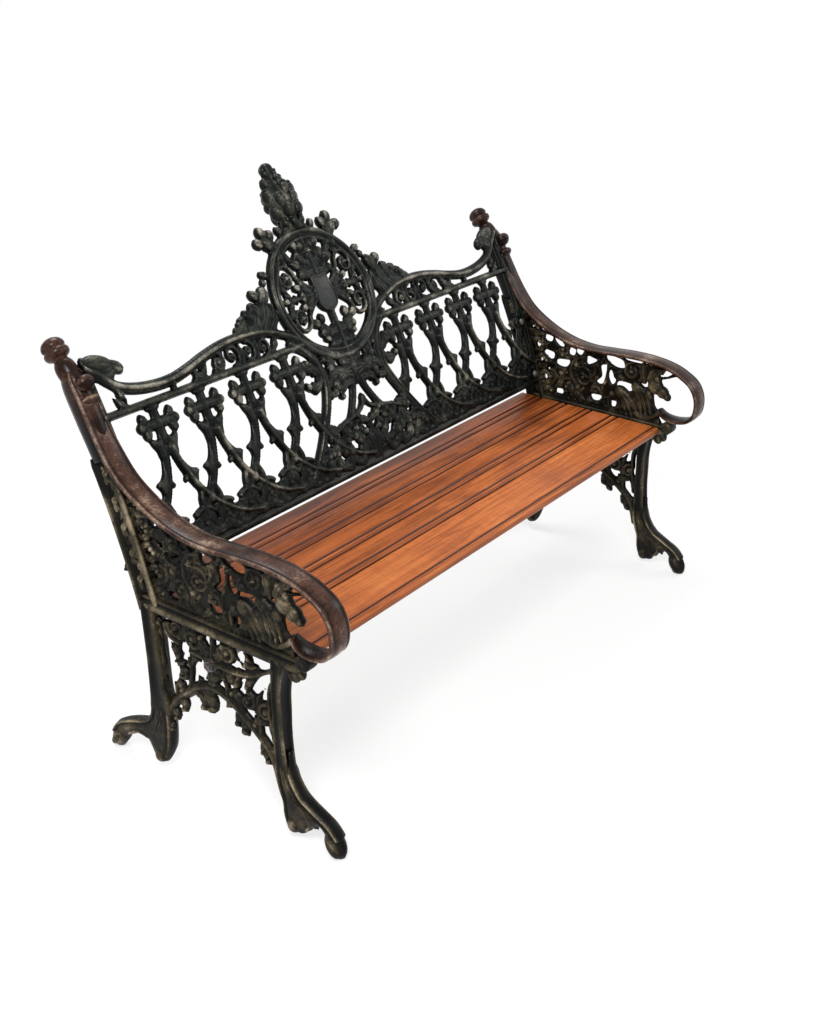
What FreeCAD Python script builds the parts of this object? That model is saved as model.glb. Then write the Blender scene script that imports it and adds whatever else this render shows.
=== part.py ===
import FreeCAD, Part
import math
import os
from FreeCAD import Vector, Rotation, Placement

# Cast iron garden bench: two mirrored end castings carry a curved pierced back
# and five varnished seat boards. Lengths are millimetres. Depth y runs from the
# front toes to the rear, x along the seat, z up from the ground.

doc = FreeCAD.newDocument("garden_bench")

# Sizes of the bench
sheet = doc.addObject("Spreadsheet::Sheet", "Sizes")
SIZES = {
    "seat_height": 419,
    "frame_spacing": 1500,
    "seat_front": 122,
    "slat_thick": 20,
    "front_slat": 124,
    "middle_slat": 73.5,
    "rear_slat": 64.5,
    "slat_gap": 5,
    "bead_width": 16,
    "groove_width": 3,
    "groove_depth": 3,
    "nose_round": 9,
    "edge_round": 2,
    "rail_width": 46,
    "arm_thick": 11,
    "web_thick": 12,
    "seat_rail_width": 28,
    "ledge_width": 34,
    "ledge_thick": 9,
    "back_lean": 17.3,
    "back_radius": 2050,
    "panel_thick": 12,
    "moulding_thick": 20,
    "panel_rise": 41,
    "stile_front": 10,
    "stile_rear": 46,
    "stile_width": 36,
    "first_stem": 209,
    "rib_radius": 218,
    "rib_band": 15,
    "medallion_wide": 344,
    "medallion_high": 282,
    "ring_band": 23,
    "finial_radius": 48,
    "knob_radius": 28,
    "bolt_radius": 4,
    "lug_thick": 12,
    "tie_radius": 7,
    "screw_radius": 2.4,
    "strap_wide": 32,
    "strap_thick": 5,
}
for row, (alias, value) in enumerate(SIZES.items(), start=1):
    sheet.set("A%d" % row, alias)
    sheet.set("B%d" % row, str(value))
    sheet.setAlias("B%d" % row, alias)
doc.recompute()


def size(alias):
    return float(getattr(sheet, alias))


half = size("frame_spacing") / 2
inner = half - size("rail_width") / 2
stile_inner = half - size("stile_width") / 2
seat_top = size("seat_height")
seat_under = seat_top - size("slat_thick")
seat_depth = (size("front_slat") + 3 * size("middle_slat") + size("rear_slat")
              + 4 * size("slat_gap"))
seat_rear = size("seat_front") + seat_depth
CLEARANCE = 0.2

# The casting patterns are drawn for a seat 419 high and 429 deep, between
# frames 1500 apart. These three keep the drawings in step with the sizes.
DRAWN_HEIGHT = 419
DRAWN_FRONT = 122
DRAWN_REAR = 551
DRAWN_HALF = 750


def fy(y):
    stretch = seat_depth / (DRAWN_REAR - DRAWN_FRONT)
    if y < DRAWN_FRONT:
        return y - DRAWN_FRONT + size("seat_front")
    if y > DRAWN_REAR:
        return y - DRAWN_REAR + seat_rear
    return size("seat_front") + (y - DRAWN_FRONT) * stretch


def fz(z):
    if z < DRAWN_HEIGHT:
        return z * seat_top / DRAWN_HEIGHT
    return z - DRAWN_HEIGHT + seat_top


def fx(x):
    stem = size("first_stem")
    if abs(x) <= stem:
        return x
    stretch = (half - stem) / (DRAWN_HALF - stem)
    return math.copysign(stem + (abs(x) - stem) * stretch, x)


# The back leans and curves: its middle surface is part of a large cylinder
# whose axis runs along x, behind and below the seat. The pattern is planed in
# flats between these levels above the seat, so that every face of it is plane.
back_foot = fy(495)
curve = size("back_radius")
lean = math.radians(size("back_lean"))
axis_y = back_foot + curve * math.cos(lean)
axis_z = seat_top - curve * math.sin(lean)
FLAT_LEVELS = [-60, 105, 241, 421, 601]
flat_turns = [math.asin((seat_top + level - axis_z) / curve) for level in FLAT_LEVELS]


def back_corner(number, outward=0):
    radius = curve + outward
    turn = flat_turns[number]
    return (axis_y - radius * math.cos(turn), axis_z + radius * math.sin(turn))


def flat_at(z, outward=0):
    for number in range(len(flat_turns) - 2):
        if z < back_corner(number + 1, outward)[1]:
            return number
    return len(flat_turns) - 2


def back_y(z, outward=0):
    number = flat_at(z, outward)
    low = back_corner(number, outward)
    high = back_corner(number + 1, outward)
    return low[0] + (high[0] - low[0]) * (z - low[1]) / (high[1] - low[1])


def back_lean_at(z):
    number = flat_at(z)
    return (flat_turns[number] + flat_turns[number + 1]) / 2


# Flat shapes of the casting patterns, drawn in two coordinates. Curves are run
# in short chords, the way a pattern maker would file them, with named counts.
LOBE_SIDES = 6
SCROLL_SIDES = 8
RIB_CHORDS = 4


def point(p):
    return Vector(p[0], p[1], 0)


# What lies outside these limits of a drawing is trimmed off
limits = {"low": -10000, "high": 10000}


def trimmed(corners, edge, keep):
    kept = []
    for a, b in zip(corners, corners[1:] + corners[:1]):
        inside = (a.x - edge) * keep >= 0
        if inside:
            kept.append(a)
        if inside != ((b.x - edge) * keep >= 0):
            kept.append(a + (b - a) * ((edge - a.x) / (b.x - a.x)))
    return kept


def polygon(points):
    corners = [point(p) for p in points]
    corners = trimmed(corners, limits["low"], 1)
    corners = trimmed(corners, limits["high"], -1)
    turning = sum(a.x * b.y - b.x * a.y for a, b in zip(corners, corners[1:] + corners[:1]))
    if turning < 0:
        corners.reverse()
    return Part.Face(Part.makePolygon(corners + corners[:1]))


def box(u0, v0, u1, v1):
    return polygon([(u0, v0), (u1, v0), (u1, v1), (u0, v1)])


def oval(u, v, along, across, sides):
    turns = [2 * math.pi * (k + 0.5) / sides for k in range(sides)]
    return polygon([(u + along * math.cos(t), v + across * math.sin(t)) for t in turns])


def disc(u, v, radius, sides=LOBE_SIDES):
    return oval(u, v, radius, radius, sides)


def ring(u, v, radius, band):
    return disc(u, v, radius, SCROLL_SIDES).cut(disc(u, v, radius - band, SCROLL_SIDES - 2))


def bar(a, b, width):
    start = point(a)
    end = point(b)
    along = (end - start).normalize()
    side = Vector(-along.y, along.x, 0) * (width / 2)
    return polygon([start + side, end + side, end - side, start - side])


def petal(root, tip, width):
    start = point(root)
    end = point(tip)
    along = end - start
    side = Vector(-along.y, along.x, 0).normalize() * (width / 2)
    near = start + along * 0.3
    far = start + along * 0.7
    return polygon([start, near - side, far - side * 0.75, end, far + side * 0.75, near + side])


def smooth(points, chords):
    line = Part.BSplineCurve()
    line.interpolate([point(p) for p in points])
    low = line.FirstParameter
    high = line.LastParameter
    stations = [low + (high - low) * i / chords for i in range(chords + 1)]
    return [(line.value(t), line.tangent(t)[0]) for t in stations]


def band(points, width, chords=RIB_CHORDS):
    left = []
    right = []
    for here, along in smooth(points, chords):
        side = Vector(-along.y, along.x, 0) * (width / 2)
        left.append(here + side)
        right.append(here - side)
    return polygon(left + right[::-1])


def arc_band(centre, radius, start, end, width, chords=RIB_CHORDS):
    def at(r, degrees):
        turn = math.radians(degrees)
        return (centre[0] + r * math.cos(turn), centre[1] + r * math.sin(turn))
    turns = [start + (end - start) * i / chords for i in range(chords + 1)]
    far = [at(radius + width / 2, turn) for turn in turns]
    near = [at(radius - width / 2, turn) for turn in turns]
    return polygon(far + near[::-1])


def outline(runs):
    corners = []
    for run, chords in runs:
        if chords == 1:
            corners.append(run[0])
        else:
            corners += [here for here, along in smooth(run, chords)][:-1]
    return polygon(corners)


def joined(faces):
    if len(faces) == 1:
        return faces[0]
    return Part.Shell(faces[0].multiFuse(faces[1:]).Faces).removeSplitter()


# The end casting stands in the y-z plane, its thickness along x
def end_plate(faces, thickness, offset=0):
    plate = joined(faces).extrude(Vector(0, 0, thickness))
    turn = Rotation(Vector(0, 1, 0), Vector(0, 0, 1), Vector(1, 0, 0), "XYZ")
    plate.Placement = Placement(Vector(half + offset - thickness / 2, 0, 0), turn)
    return plate


def drawn(points):
    return [(fy(y), fz(z)) for y, z in points]


# Front leg and scrolled foot: toe on the ground, heel just clear of it
front_leg = outline([
    (drawn([(146, 396), (160, 330), (156, 240), (145, 155), (127, 115), (95, 92),
            (53, 76), (24, 54), (8, 24), (20, 0)]), 13),
    (drawn([(20, 0), (44, 0)]), 1),
    (drawn([(44, 0), (54, 38), (72, 57), (92, 44), (106, 32), (113, 17)]), 6),
    (drawn([(113, 17), (147, 17)]), 1),
    (drawn([(147, 17), (158, 32), (161, 80), (172, 112), (180, 165), (182, 240),
            (183, 330), (180, 396)]), 8),
    (drawn([(180, 396), (146, 396)]), 1),
])

# Rear leg, deeper, sweeping back to its toe
rear_leg = outline([
    (drawn([(526, 410), (522, 340), (520, 277), (520, 215), (527, 171), (542, 134),
            (570, 109), (614, 84), (645, 54), (659, 20), (652, 0)]), 12),
    (drawn([(652, 0), (630, 0)]), 1),
    (drawn([(630, 0), (612, 30), (590, 47), (566, 55), (546, 46), (532, 34), (524, 20)]), 6),
    (drawn([(524, 20), (493, 20)]), 1),
    (drawn([(493, 20), (476, 40), (466, 80), (461, 127), (467, 171), (477, 215),
            (484, 277), (490, 340), (494, 410)]), 8),
    (drawn([(494, 410), (526, 410)]), 1),
])

# Seen from the front both legs taper to the foot
leg_half = [(fz(z), share * size("rail_width") / 2) for z, share in
            [(0, 0.40), (16, 0.58), (60, 0.64), (130, 0.62), (220, 0.72), (340, 0.92), (412, 1)]]
leg_taper = polygon([(half - w, z) for z, w in leg_half]
                    + [(half + w, z) for z, w in leg_half[::-1]])
taper_prism = leg_taper.extrude(Vector(0, 0, 1000))
taper_prism.Placement = Placement(Vector(0, 900, 0), Rotation(Vector(1, 0, 0), 90))

# Back stile: follows the curve of the back, from the seat rail to the knob
stile_foot = fz(396)
stile_head = fz(846)
knob_tilt = math.radians(43)
knob_seat = (back_y(stile_head) + 40, stile_head + 20)


def stile_edge(outward, low, high):
    stations = [low + (high - low) * i / 4 for i in range(5)]
    return [(back_y(z, outward), z) for z in stations]


stile = polygon(stile_edge(size("stile_front"), stile_foot, stile_head)
                + stile_edge(-size("stile_rear"), stile_foot, stile_head)[::-1])
knob_along = (math.sin(knob_tilt), math.cos(knob_tilt))
knob_across = (math.cos(knob_tilt), -math.sin(knob_tilt))
HEAD_HALF = 19
HEAD_ROOT = -34


def head_point(along, across):
    return (knob_seat[0] + along * knob_along[0] + across * knob_across[0],
            knob_seat[1] + along * knob_along[1] + across * knob_across[1])


stile_cap = polygon([head_point(HEAD_ROOT, -HEAD_HALF), head_point(HEAD_ROOT, HEAD_HALF),
                     head_point(0, HEAD_HALF), head_point(0, -HEAD_HALF)])
stile_boss = disc(back_y(stile_head) + 10, stile_head - 4, 24, SCROLL_SIDES)

# Arm rail: rises from the stile, sweeps down, runs level and scrolls under
arm_drop = size("arm_thick") / 2
arm_line = [(705, 830), (640, 745), (565, 670), (465, 614), (352, 592), (240, 599),
            (175, 599), (115, 590), (71, 572), (45, 552), (29, 515), (33, 475),
            (52, 456), (86, 448), (122, 453), (140, 468)]
arm_rail = band([(fy(y), fz(z) - arm_drop) for y, z in arm_line], size("arm_thick"), 20)

legs = end_plate([front_leg, rear_leg], size("rail_width")).common(taper_prism)
stile_plate = end_plate([stile, stile_cap, stile_boss], size("stile_width"))
arm_plate = end_plate([arm_rail], size("rail_width"))

# Seat rail with the small volute at its front end
rail_low = seat_under - 9
seat_rail = box(fy(112), rail_low, fy(526), seat_top + 3)
rail_volute = disc(fy(107), fz(418), 17, SCROLL_SIDES)
rail_plate = end_plate([seat_rail, rail_volute], size("seat_rail_width"))

# Pierced arm panel: scrolls, a crouching beast behind the front scroll, foliage
arm_web = [
    box(fy(140), fz(419), fy(505), fz(437)),
    ring(fy(379), fz(510), 50, 12),
    disc(fy(379), fz(510), 17),
    bar(drawn([(379, 510)])[0], drawn([(340, 545)])[0], 9),
    bar(drawn([(379, 510)])[0], drawn([(379, 462)])[0], 9),
    ring(fy(229), fz(548), 34, 11),
    disc(fy(229), fz(548), 12),
    bar(drawn([(229, 548)])[0], drawn([(229, 580)])[0], 8),
    ring(fy(504), fz(567), 36, 10),
    disc(fy(504), fz(567), 12),
    bar(drawn([(504, 567)])[0], drawn([(504, 537)])[0], 8),
    band(drawn([(262, 540), (300, 522), (318, 480), (306, 436)]), 11),
    band(drawn([(250, 574), (300, 572), (345, 585)]), 11),
    band(drawn([(340, 541), (318, 560), (306, 590)]), 10),
    band(drawn([(425, 530), (446, 560), (450, 600)]), 11),
    band(drawn([(418, 480), (455, 478), (500, 500), (560, 532)]), 11),
    band(drawn([(470, 552), (455, 520), (462, 470), (480, 432)]), 11),
    band(drawn([(538, 575), (556, 610), (572, 670)]), 10),
    ring(fy(330), fz(452), 22, 9),
    ring(fy(428), fz(450), 20, 9),
    ring(fy(538), fz(462), 19, 9),
    bar(drawn([(505, 437)])[0], drawn([(525, 448)])[0], 10),
    oval(fy(229), fz(456), 46, 33, SCROLL_SIDES),
    band(drawn([(200, 462), (172, 478), (160, 505), (150, 535)]), 28),
    disc(fy(124), fz(508), 18),
    bar(drawn([(124, 508)])[0], drawn([(158, 512)])[0], 22),
    petal(drawn([(118, 505)])[0], drawn([(84, 492)])[0], 18),
    disc(fy(140), fz(548), 18),
    disc(fy(162), fz(560), 15),
    bar(drawn([(140, 548)])[0], drawn([(112, 584)])[0], 12),
    bar(drawn([(162, 560)])[0], drawn([(176, 592)])[0], 12),
    bar(drawn([(190, 440)])[0], drawn([(140, 452)])[0], 16),
    bar(drawn([(268, 462)])[0], drawn([(290, 440)])[0], 14),
    bar(drawn([(622, 690)])[0], drawn([(648, 690)])[0], 9),
]

# Apron below the seat: arch between the legs, garland, rosette and drop leaves
rosette = (fy(345), fz(322))
apron_web = [
    band(drawn([(180, 128), (208, 186), (264, 236), (345, 268), (408, 236), (448, 203),
                (474, 150)]), 15, 8),
    band(drawn([(178, 376), (208, 350), (270, 326), (345, 322), (420, 331), (470, 349),
                (496, 376)]), 12, 6),
    disc(rosette[0], rosette[1], 20),
    bar(rosette, drawn([(345, 268)])[0], 15),
    bar(rosette, drawn([(345, 398)])[0], 12),
    band(drawn([(212, 342), (230, 290), (222, 200)]), 11),
    band(drawn([(486, 346), (456, 286), (447, 200)]), 11),
    band(drawn([(272, 326), (285, 285), (268, 238)]), 10),
    band(drawn([(418, 330), (402, 285), (412, 236)]), 10),
    ring(fy(245), fz(368), 26, 10),
    ring(fy(445), fz(368), 26, 10),
    ring(fy(298), fz(352), 30, 10),
    ring(fy(392), fz(360), 30, 10),
    ring(fy(208), fz(262), 22, 9),
    petal(drawn([(200, 180)])[0], drawn([(224, 148)])[0], 16),
    petal(drawn([(258, 232)])[0], drawn([(284, 200)])[0], 16),
    petal(drawn([(345, 270)])[0], drawn([(345, 226)])[0], 20),
    petal(drawn([(412, 234)])[0], drawn([(388, 200)])[0], 16),
    petal(drawn([(462, 180)])[0], drawn([(440, 150)])[0], 14),
]
web = end_plate(arm_web + apron_web, size("web_thick"))

# Ledge for the boards and boss for the tie rod, on the inner side
ledge = Part.makeBox(size("ledge_width") + size("rail_width") / 2 - 6,
                     seat_rear - size("seat_front") - 24, size("ledge_thick"),
                     Vector(inner - size("ledge_width"), size("seat_front") + 10,
                            seat_under - size("ledge_thick")))
tie_boss = end_plate([disc(rosette[0], rosette[1], 16)], 14)


# Turned forms: rings of one half outline, joined by flat facets
TURNED_SIDES = 10
SCREW_SIDES = 6


def turned(profile, sides=TURNED_SIDES):
    rings = []
    for radius, height in profile:
        turns = [2 * math.pi * k / sides for k in range(sides)]
        rings.append([Vector(radius * math.cos(t), radius * math.sin(t), height) for t in turns])
    outlines = [rings[0], rings[-1]]
    for low, high in zip(rings, rings[1:]):
        for k in range(sides):
            after = (k + 1) % sides
            outlines.append([low[k], low[after], high[after], high[k]])
    facets = [Part.Face(Part.makePolygon(corners + corners[:1])) for corners in outlines]
    solid = Part.Solid(Part.Shell(facets))
    if solid.Volume < 0:
        solid.reverse()
    return solid


def bore(radius, thick):
    return turned([(radius, -1), (radius, thick + 1)])


# A slice of the curved back: flat drawing in x-z cut out of a faceted shell
def curved_plate(faces, thickness, outward=0):
    prism = joined(faces).extrude(Vector(0, 0, 1000))
    turn = Rotation(Vector(1, 0, 0), Vector(0, 0, 1), Vector(0, -1, 0), "XYZ")
    prism.Placement = Placement(Vector(0, back_foot + 700, 0), turn)
    corners = range(len(flat_turns))
    front = [back_corner(number, outward + thickness / 2) for number in corners]
    rear = [back_corner(number, outward - thickness / 2) for number in corners]
    section = [Vector(-half - 60, y, z) for y, z in front + rear[::-1]]
    shell = Part.Face(Part.makePolygon(section + section[:1])).extrude(Vector(2 * half + 120, 0, 0))
    return prism.common(shell)


# Lugs behind the back, two on each stile, each with its bolt hole
moulding_rear = size("panel_thick") / 2 + 1
moulding_front = size("moulding_thick") - moulding_rear
heavy_out = (moulding_front - moulding_rear) / 2
bolt_levels = [fz(484), fz(622)]
bolt_x = stile_inner - 19
lug_middle = -moulding_rear - CLEARANCE - size("lug_thick") / 2
lug_shapes = [box(stile_inner - 37, z - 17, stile_inner + 3, z + 17) for z in bolt_levels]
lugs = curved_plate(lug_shapes, size("lug_thick"), lug_middle)


def bolt_place(x, z, depth):
    turn = back_lean_at(z)
    normal = Vector(0, math.cos(turn), -math.sin(turn))
    foot = Vector(x, back_y(z), z) + normal * depth
    return Placement(foot, Rotation(Vector(0, 0, 1), normal))


def bolt_holes(radius):
    holes = []
    for z in bolt_levels:
        hole = bore(radius, 78)
        hole.Placement = bolt_place(bolt_x, z, -39)
        holes.append(hole)
    return holes


# Screw positions: one in each board end, and one under the middle of each board
slat_widths = [size("front_slat")] + 3 * [size("middle_slat")] + [size("rear_slat")]
slat_starts = []
edge = size("seat_front")
for width in slat_widths:
    slat_starts.append(edge)
    edge += width + size("slat_gap")
screw_rows = [start + width / 2 for start, width in zip(slat_starts, slat_widths)]
screw_x = inner - size("ledge_width") / 2
screw_holes = [bore(size("screw_radius") + 0.3, size("ledge_thick")) for y in screw_rows]
for hole, y in zip(screw_holes, screw_rows):
    hole.translate(Vector(screw_x, y, seat_under - size("ledge_thick")))

# Socket for the knob's spigot, along the knob's own axis
SPIGOT = 6
SPIGOT_LENGTH = 16
knob_axis = Vector(0, knob_along[0], knob_along[1])
knob_point = Vector(half, knob_seat[0], knob_seat[1])
knob_place = Placement(knob_point, Rotation(Vector(0, 0, 1), knob_axis))
knob_socket = turned([(SPIGOT + CLEARANCE, -SPIGOT_LENGTH - 1), (SPIGOT + CLEARANCE, 1)])
knob_socket.Placement = knob_place
tie_hole = Part.makeCylinder(size("tie_radius") + 0.3, 60,
                             Vector(half - 30, rosette[0], rosette[1]), Vector(1, 0, 0))

frame_shape = arm_plate.multiFuse([legs, stile_plate, rail_plate, web, ledge, tie_boss, lugs])
frame_shape = frame_shape.cut(bolt_holes(size("bolt_radius") + 0.4) + screw_holes
                              + [knob_socket, tie_hole])
right_frame = doc.addObject("Part::Feature", "right_end_frame")
right_frame.Shape = frame_shape
left_frame = doc.addObject("Part::Mirroring", "left_end_frame")
left_frame.Source = right_frame
left_frame.Base = Vector(0, 0, 0)
left_frame.Normal = Vector(1, 0, 0)

# Curved back. Bays of pointed arches: from every stem two ribs swing down and
# outward, cross the neighbour's rib and end on the bottom rail.
foot = seat_top + size("panel_rise")
panel_end = stile_inner - CLEARANCE
limits["low"] = 0
limits["high"] = panel_end
rail_z = foot + 298
pitch = (half - 8 - size("first_stem")) / 4
stems = [size("first_stem") + pitch * k for k in range(5)]
rib_level = foot + 242
rib = size("rib_band")
swing = size("rib_radius")
RIB_START = 8


def ribs_of(x, outward=True, inward=True):
    faces = []
    drop = math.degrees(math.acos(min(0.97, (rib_level - foot - 8) / swing)))
    if outward:
        faces.append(arc_band((x + RIB_START + swing, rib_level), swing, 186, 270 - drop, rib))
    if inward:
        faces.append(arc_band((x - RIB_START - swing, rib_level), swing, 354, 270 + drop, rib))
    return faces


def finial_of(x):
    cross = foot + 258
    faces = [
        bar((x, rail_z), (x, foot + 190), 22),
        bar((x - 36, cross), (x + 36, cross), 15),
    ]
    for side in (-1, 1):
        faces += [disc(x + side * 38, cross + 11, 9), disc(x + side * 38, cross - 11, 9),
                  disc(x + side * 44, cross, 8)]
        faces.append(petal((x + side * 6, foot + 204), (x + side * 35, foot + 220), 13))
        faces.append(petal((x + side * 14, foot + 172), (x + side * 58, foot + 152), 16))
    faces.append(bar((x - 24, foot + 140), (x + 24, foot + 140), 9))
    faces.append(disc(x, foot + 140, 8))
    faces.append(disc(x, foot + 36, 17))
    return faces


half_ribs = []
for x in stems[:4]:
    half_ribs += ribs_of(x)
half_ribs += ribs_of(stems[4], outward=False)
for x in stems[:4]:
    half_ribs += finial_of(x)
for x in [stem + pitch / 2 for stem in stems[:4]]:
    half_ribs += [disc(x, foot + 92, 15), disc(x, foot + 24, 16)]
half_ribs += [
    arc_band((104 + swing, rib_level), swing, 180, 250, rib),
    band([(104, foot + 242), (112, foot + 262), (150, rail_z)], rib),
    petal((104, foot + 232), (168, foot + 244), 22),
    petal((106, foot + 215), (166, foot + 205), 20),
    petal((112, foot + 190), (52, foot + 200), 18),
    arc_band((RIB_START + swing, rib_level), swing, 186, 258, rib),
    petal((8, foot + 205), (74, foot + 228), 26),
    petal((8, foot + 196), (70, foot + 190), 22),
    band([(0, foot + 140), (40, foot + 118), (76, foot + 108), (140, foot + 92)], 11),
    disc(104, foot + 52, 18),
    disc(60, foot + 38, 16),
    disc(104, foot + 26, 16),
]
straight_rail = box(140, rail_z - 6, half, rail_z + 6)
bottom_rail = box(-1, foot, half, foot + 13)
tracery = half_ribs + [bottom_rail]

# Serpentine cresting above the straight rail, with its leaves
crest_line = [(745, foot + 402), (712, foot + 376), (673, foot + 344), (632, foot + 330),
              (555, foot + 323), (478, foot + 331), (400, foot + 346), (320, foot + 353),
              (265, foot + 351), (222, foot + 343), (170, foot + 325), (119, foot + 297),
              (68, foot + 267), (0, foot + 248)]
cresting = band([(fx(x), z) for x, z in crest_line], 15, 14)
crest_leaves = [
    disc(fx(690), foot + 374, 18),
    disc(fx(662), foot + 364, 19),
    disc(fx(640), foot + 350, 15),
    bar((fx(534), rail_z), (fx(534), foot + 324), 12),
    petal((fx(672), foot + 344), (fx(662), foot + 312), 16),
    petal((fx(668), rail_z), (fx(690), foot + 326), 14),
    bar((fx(455), rail_z), (fx(440), foot + 338), 12),
    ring(fx(395), foot + 323, 19, 9),
    ring(fx(350), foot + 326, 23, 10),
    ring(fx(300), foot + 322, 22, 10),
    ring(fx(252), foot + 318, 18, 8),
    disc(fx(372), foot + 352, 15),
    disc(fx(330), foot + 362, 13),
    bar((fx(330), foot + 362), (fx(330), foot + 386), 8),
    disc(fx(330), foot + 388, 7),
    disc(fx(290), foot + 360, 16),
    disc(258, foot + 378, 24),
    disc(228, foot + 402, 26),
    disc(206, foot + 376, 26),
    disc(188, foot + 422, 21),
]

# Oval medallion: ring, plain shield, stems and scrolls
ring_z = foot + 380
ring_x = size("medallion_wide") / 2
ring_h = size("medallion_high") / 2
ring_band = size("ring_band")
RING_SIDES = 24
medallion = oval(0, ring_z, ring_x, ring_h, RING_SIDES).cut(
    oval(0, ring_z, ring_x - ring_band, ring_h - ring_band * 0.8, RING_SIDES))
ring_top = ring_z + ring_h
crockets = [
    bar((ring_x * 0.68, ring_z + 92), (ring_x * 0.80, ring_z + 126), 18),
    disc(ring_x * 0.71, ring_z + 120, 13),
    disc(ring_x * 0.90, ring_z + 126, 16),
    disc(ring_x * 0.80, ring_z + 136, 15),
    disc(ring_x * 0.95, ring_z + 66, 15),
    disc(ring_x * 0.35, ring_top - 8, 14),
]
shield = outline([
    ([(-47, ring_z + 45), (47, ring_z + 45)], 1),
    ([(47, ring_z + 45), (48, ring_z + 12), (36, ring_z - 18), (0, ring_z - 36)], 5),
    ([(0, ring_z - 36), (-36, ring_z - 18), (-48, ring_z + 12), (-47, ring_z + 45)], 5),
])
filling = [
    bar((0, ring_z - ring_h + 12), (0, ring_z - 30), 15),
    bar((0, ring_z + 40), (0, ring_top - 12), 17),
    bar((40, ring_z + 6), (ring_x - 14, ring_z + 6), 9),
    ring(104, ring_z + 46, 28, 10),
    disc(104, ring_z + 46, 10),
    bar((104, ring_z + 46), (78, ring_z + 50), 8),
    ring(108, ring_z - 26, 27, 10),
    disc(108, ring_z - 26, 10),
    bar((108, ring_z - 26), (84, ring_z - 18), 8),
    band([(0, ring_z - 86), (38, ring_z - 66), (70, ring_z - 58), (104, ring_z - 52)], 13),
    disc(66, ring_z - 58, 15),
    disc(36, ring_z - 78, 13),
    band([(0, ring_z + 66), (40, ring_z + 74), (78, ring_z + 84), (104, ring_z + 74)], 12),
    disc(42, ring_z + 82, 15),
    disc(20, ring_z + 98, 14),
    disc(72, ring_z + 88, 13),
    bar((40, ring_z + 28), (80, ring_z + 38), 9),
    bar((36, ring_z - 12), (84, ring_z - 22), 9),
]
finial_seat = ring_top + 6
finial_boss = box(-28, ring_top - 14, 28, finial_seat)

# Upright end strips with round eyes where the bolts pass
end_strip = [box(panel_end - 11, foot, panel_end, foot + 400)]
end_strip += [disc(bolt_x, z, 18, SCROLL_SIDES) for z in bolt_levels]

# One half of the back is worked out, then matched by its mirror image
heavy = joined([straight_rail, cresting, medallion, shield, finial_boss] + crockets + end_strip)
light = joined(tracery + crest_leaves + filling)
light_half = curved_plate([light], size("panel_thick"))
heavy_half = curved_plate([heavy], size("moulding_thick"), heavy_out)
half_back = light_half.fuse(heavy_half).cut(bolt_holes(size("bolt_radius") + 0.4))
finial_y = back_y(finial_seat) - heavy_out
PIN = 4
PIN_LENGTH = 14
finial_hole = bore(PIN + CLEARANCE, PIN_LENGTH)
finial_hole.translate(Vector(0, finial_y, finial_seat - PIN_LENGTH))
back_panel = doc.addObject("Part::Feature", "back_panel")
half_back = half_back.cut(finial_hole)
back_panel.Shape = half_back.fuse(half_back.mirror(Vector(0, 0, 0), Vector(1, 0, 0)))

# Bud finial, leaning with the back, its foot cut level to stand on the ring
bud = size("finial_radius")
bud_shape = turned([(bud * 0.56, -24), (bud * 0.60, 4), (bud * 0.62, 22), (bud * 0.86, 38),
                    (bud, 62), (bud * 0.94, 92), (bud * 0.62, 116), (bud * 0.46, 132),
                    (bud * 0.44, 148), (bud * 0.2, 160)])
bud_tilt = back_lean_at(finial_seat)
bud_shape.Placement = Placement(Vector(0, finial_y, finial_seat),
                                Rotation(Vector(1, 0, 0), -math.degrees(bud_tilt)))
above = Part.makeBox(400, 400, 400, Vector(-200, finial_y - 200, finial_seat))
pin = turned([(PIN, 0), (PIN, PIN_LENGTH + 6)])
pin.translate(Vector(0, finial_y, finial_seat - PIN_LENGTH))
crest_finial = doc.addObject("Part::Feature", "crest_finial")
crest_finial.Shape = bud_shape.common(above).fuse(pin).removeSplitter()

# Bun knob with a groove, spigot in the stile
knob = size("knob_radius")
spigot = turned([(SPIGOT, -SPIGOT_LENGTH), (SPIGOT, 4)])
bun = turned([(15, 0), (13, 5), (knob * 0.88, 9), (knob, 19), (knob * 0.92, 25),
              (knob * 0.97, 30), (knob * 0.74, 43), (knob * 0.3, 49)])
knob_shape = bun.fuse(spigot)
knob_shape.Placement = knob_place
right_knob = doc.addObject("Part::Feature", "right_stile_knob")
right_knob.Shape = knob_shape
left_knob = doc.addObject("Part::Mirroring", "left_stile_knob")
left_knob.Source = right_knob
left_knob.Base = Vector(0, 0, 0)
left_knob.Normal = Vector(1, 0, 0)


# Seat boards: a planed section with rounded edges and a bead struck along the
# front, cut to length between the two end castings.
def rectangle(sketch, values):
    corners = [Vector(0, 0, 0), Vector(10, 0, 0), Vector(10, 5, 0), Vector(0, 5, 0)]
    for i in range(4):
        sketch.addGeometry(Part.LineSegment(corners[i], corners[(i + 1) % 4]), False)
    for i in range(4):
        sketch.addConstraint(Sketcher.Constraint("Coincident", i, 2, (i + 1) % 4, 1))
    for i in (0, 2):
        sketch.addConstraint(Sketcher.Constraint("Horizontal", i))
    for i in (1, 3):
        sketch.addConstraint(Sketcher.Constraint("Vertical", i))
    rules = [("DistanceX", 0, 1, 0, 2), ("DistanceY", 1, 1, 1, 2),
             ("DistanceX", -1, 1, 0, 1), ("DistanceY", -1, 1, 0, 1)]
    for (name, expression), (kind, a, b, c, d) in zip(values, rules):
        index = sketch.addConstraint(Sketcher.Constraint(kind, a, b, c, d, 7.0))
        sketch.renameConstraint(index, name)
        sketch.setExpression("Constraints." + name, expression)


def section_plane(body):
    for feature in body.Origin.OriginFeatures:
        if feature.Role == "YZ_Plane":
            return feature


def long_edges(shape, y, z):
    names = []
    for number, candidate in enumerate(shape.Edges, start=1):
        middle = candidate.CenterOfMass
        if candidate.Length > half and abs(middle.y - y) < 0.01 and abs(middle.z - z) < 0.01:
            names.append("Edge%d" % number)
    return names


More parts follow.
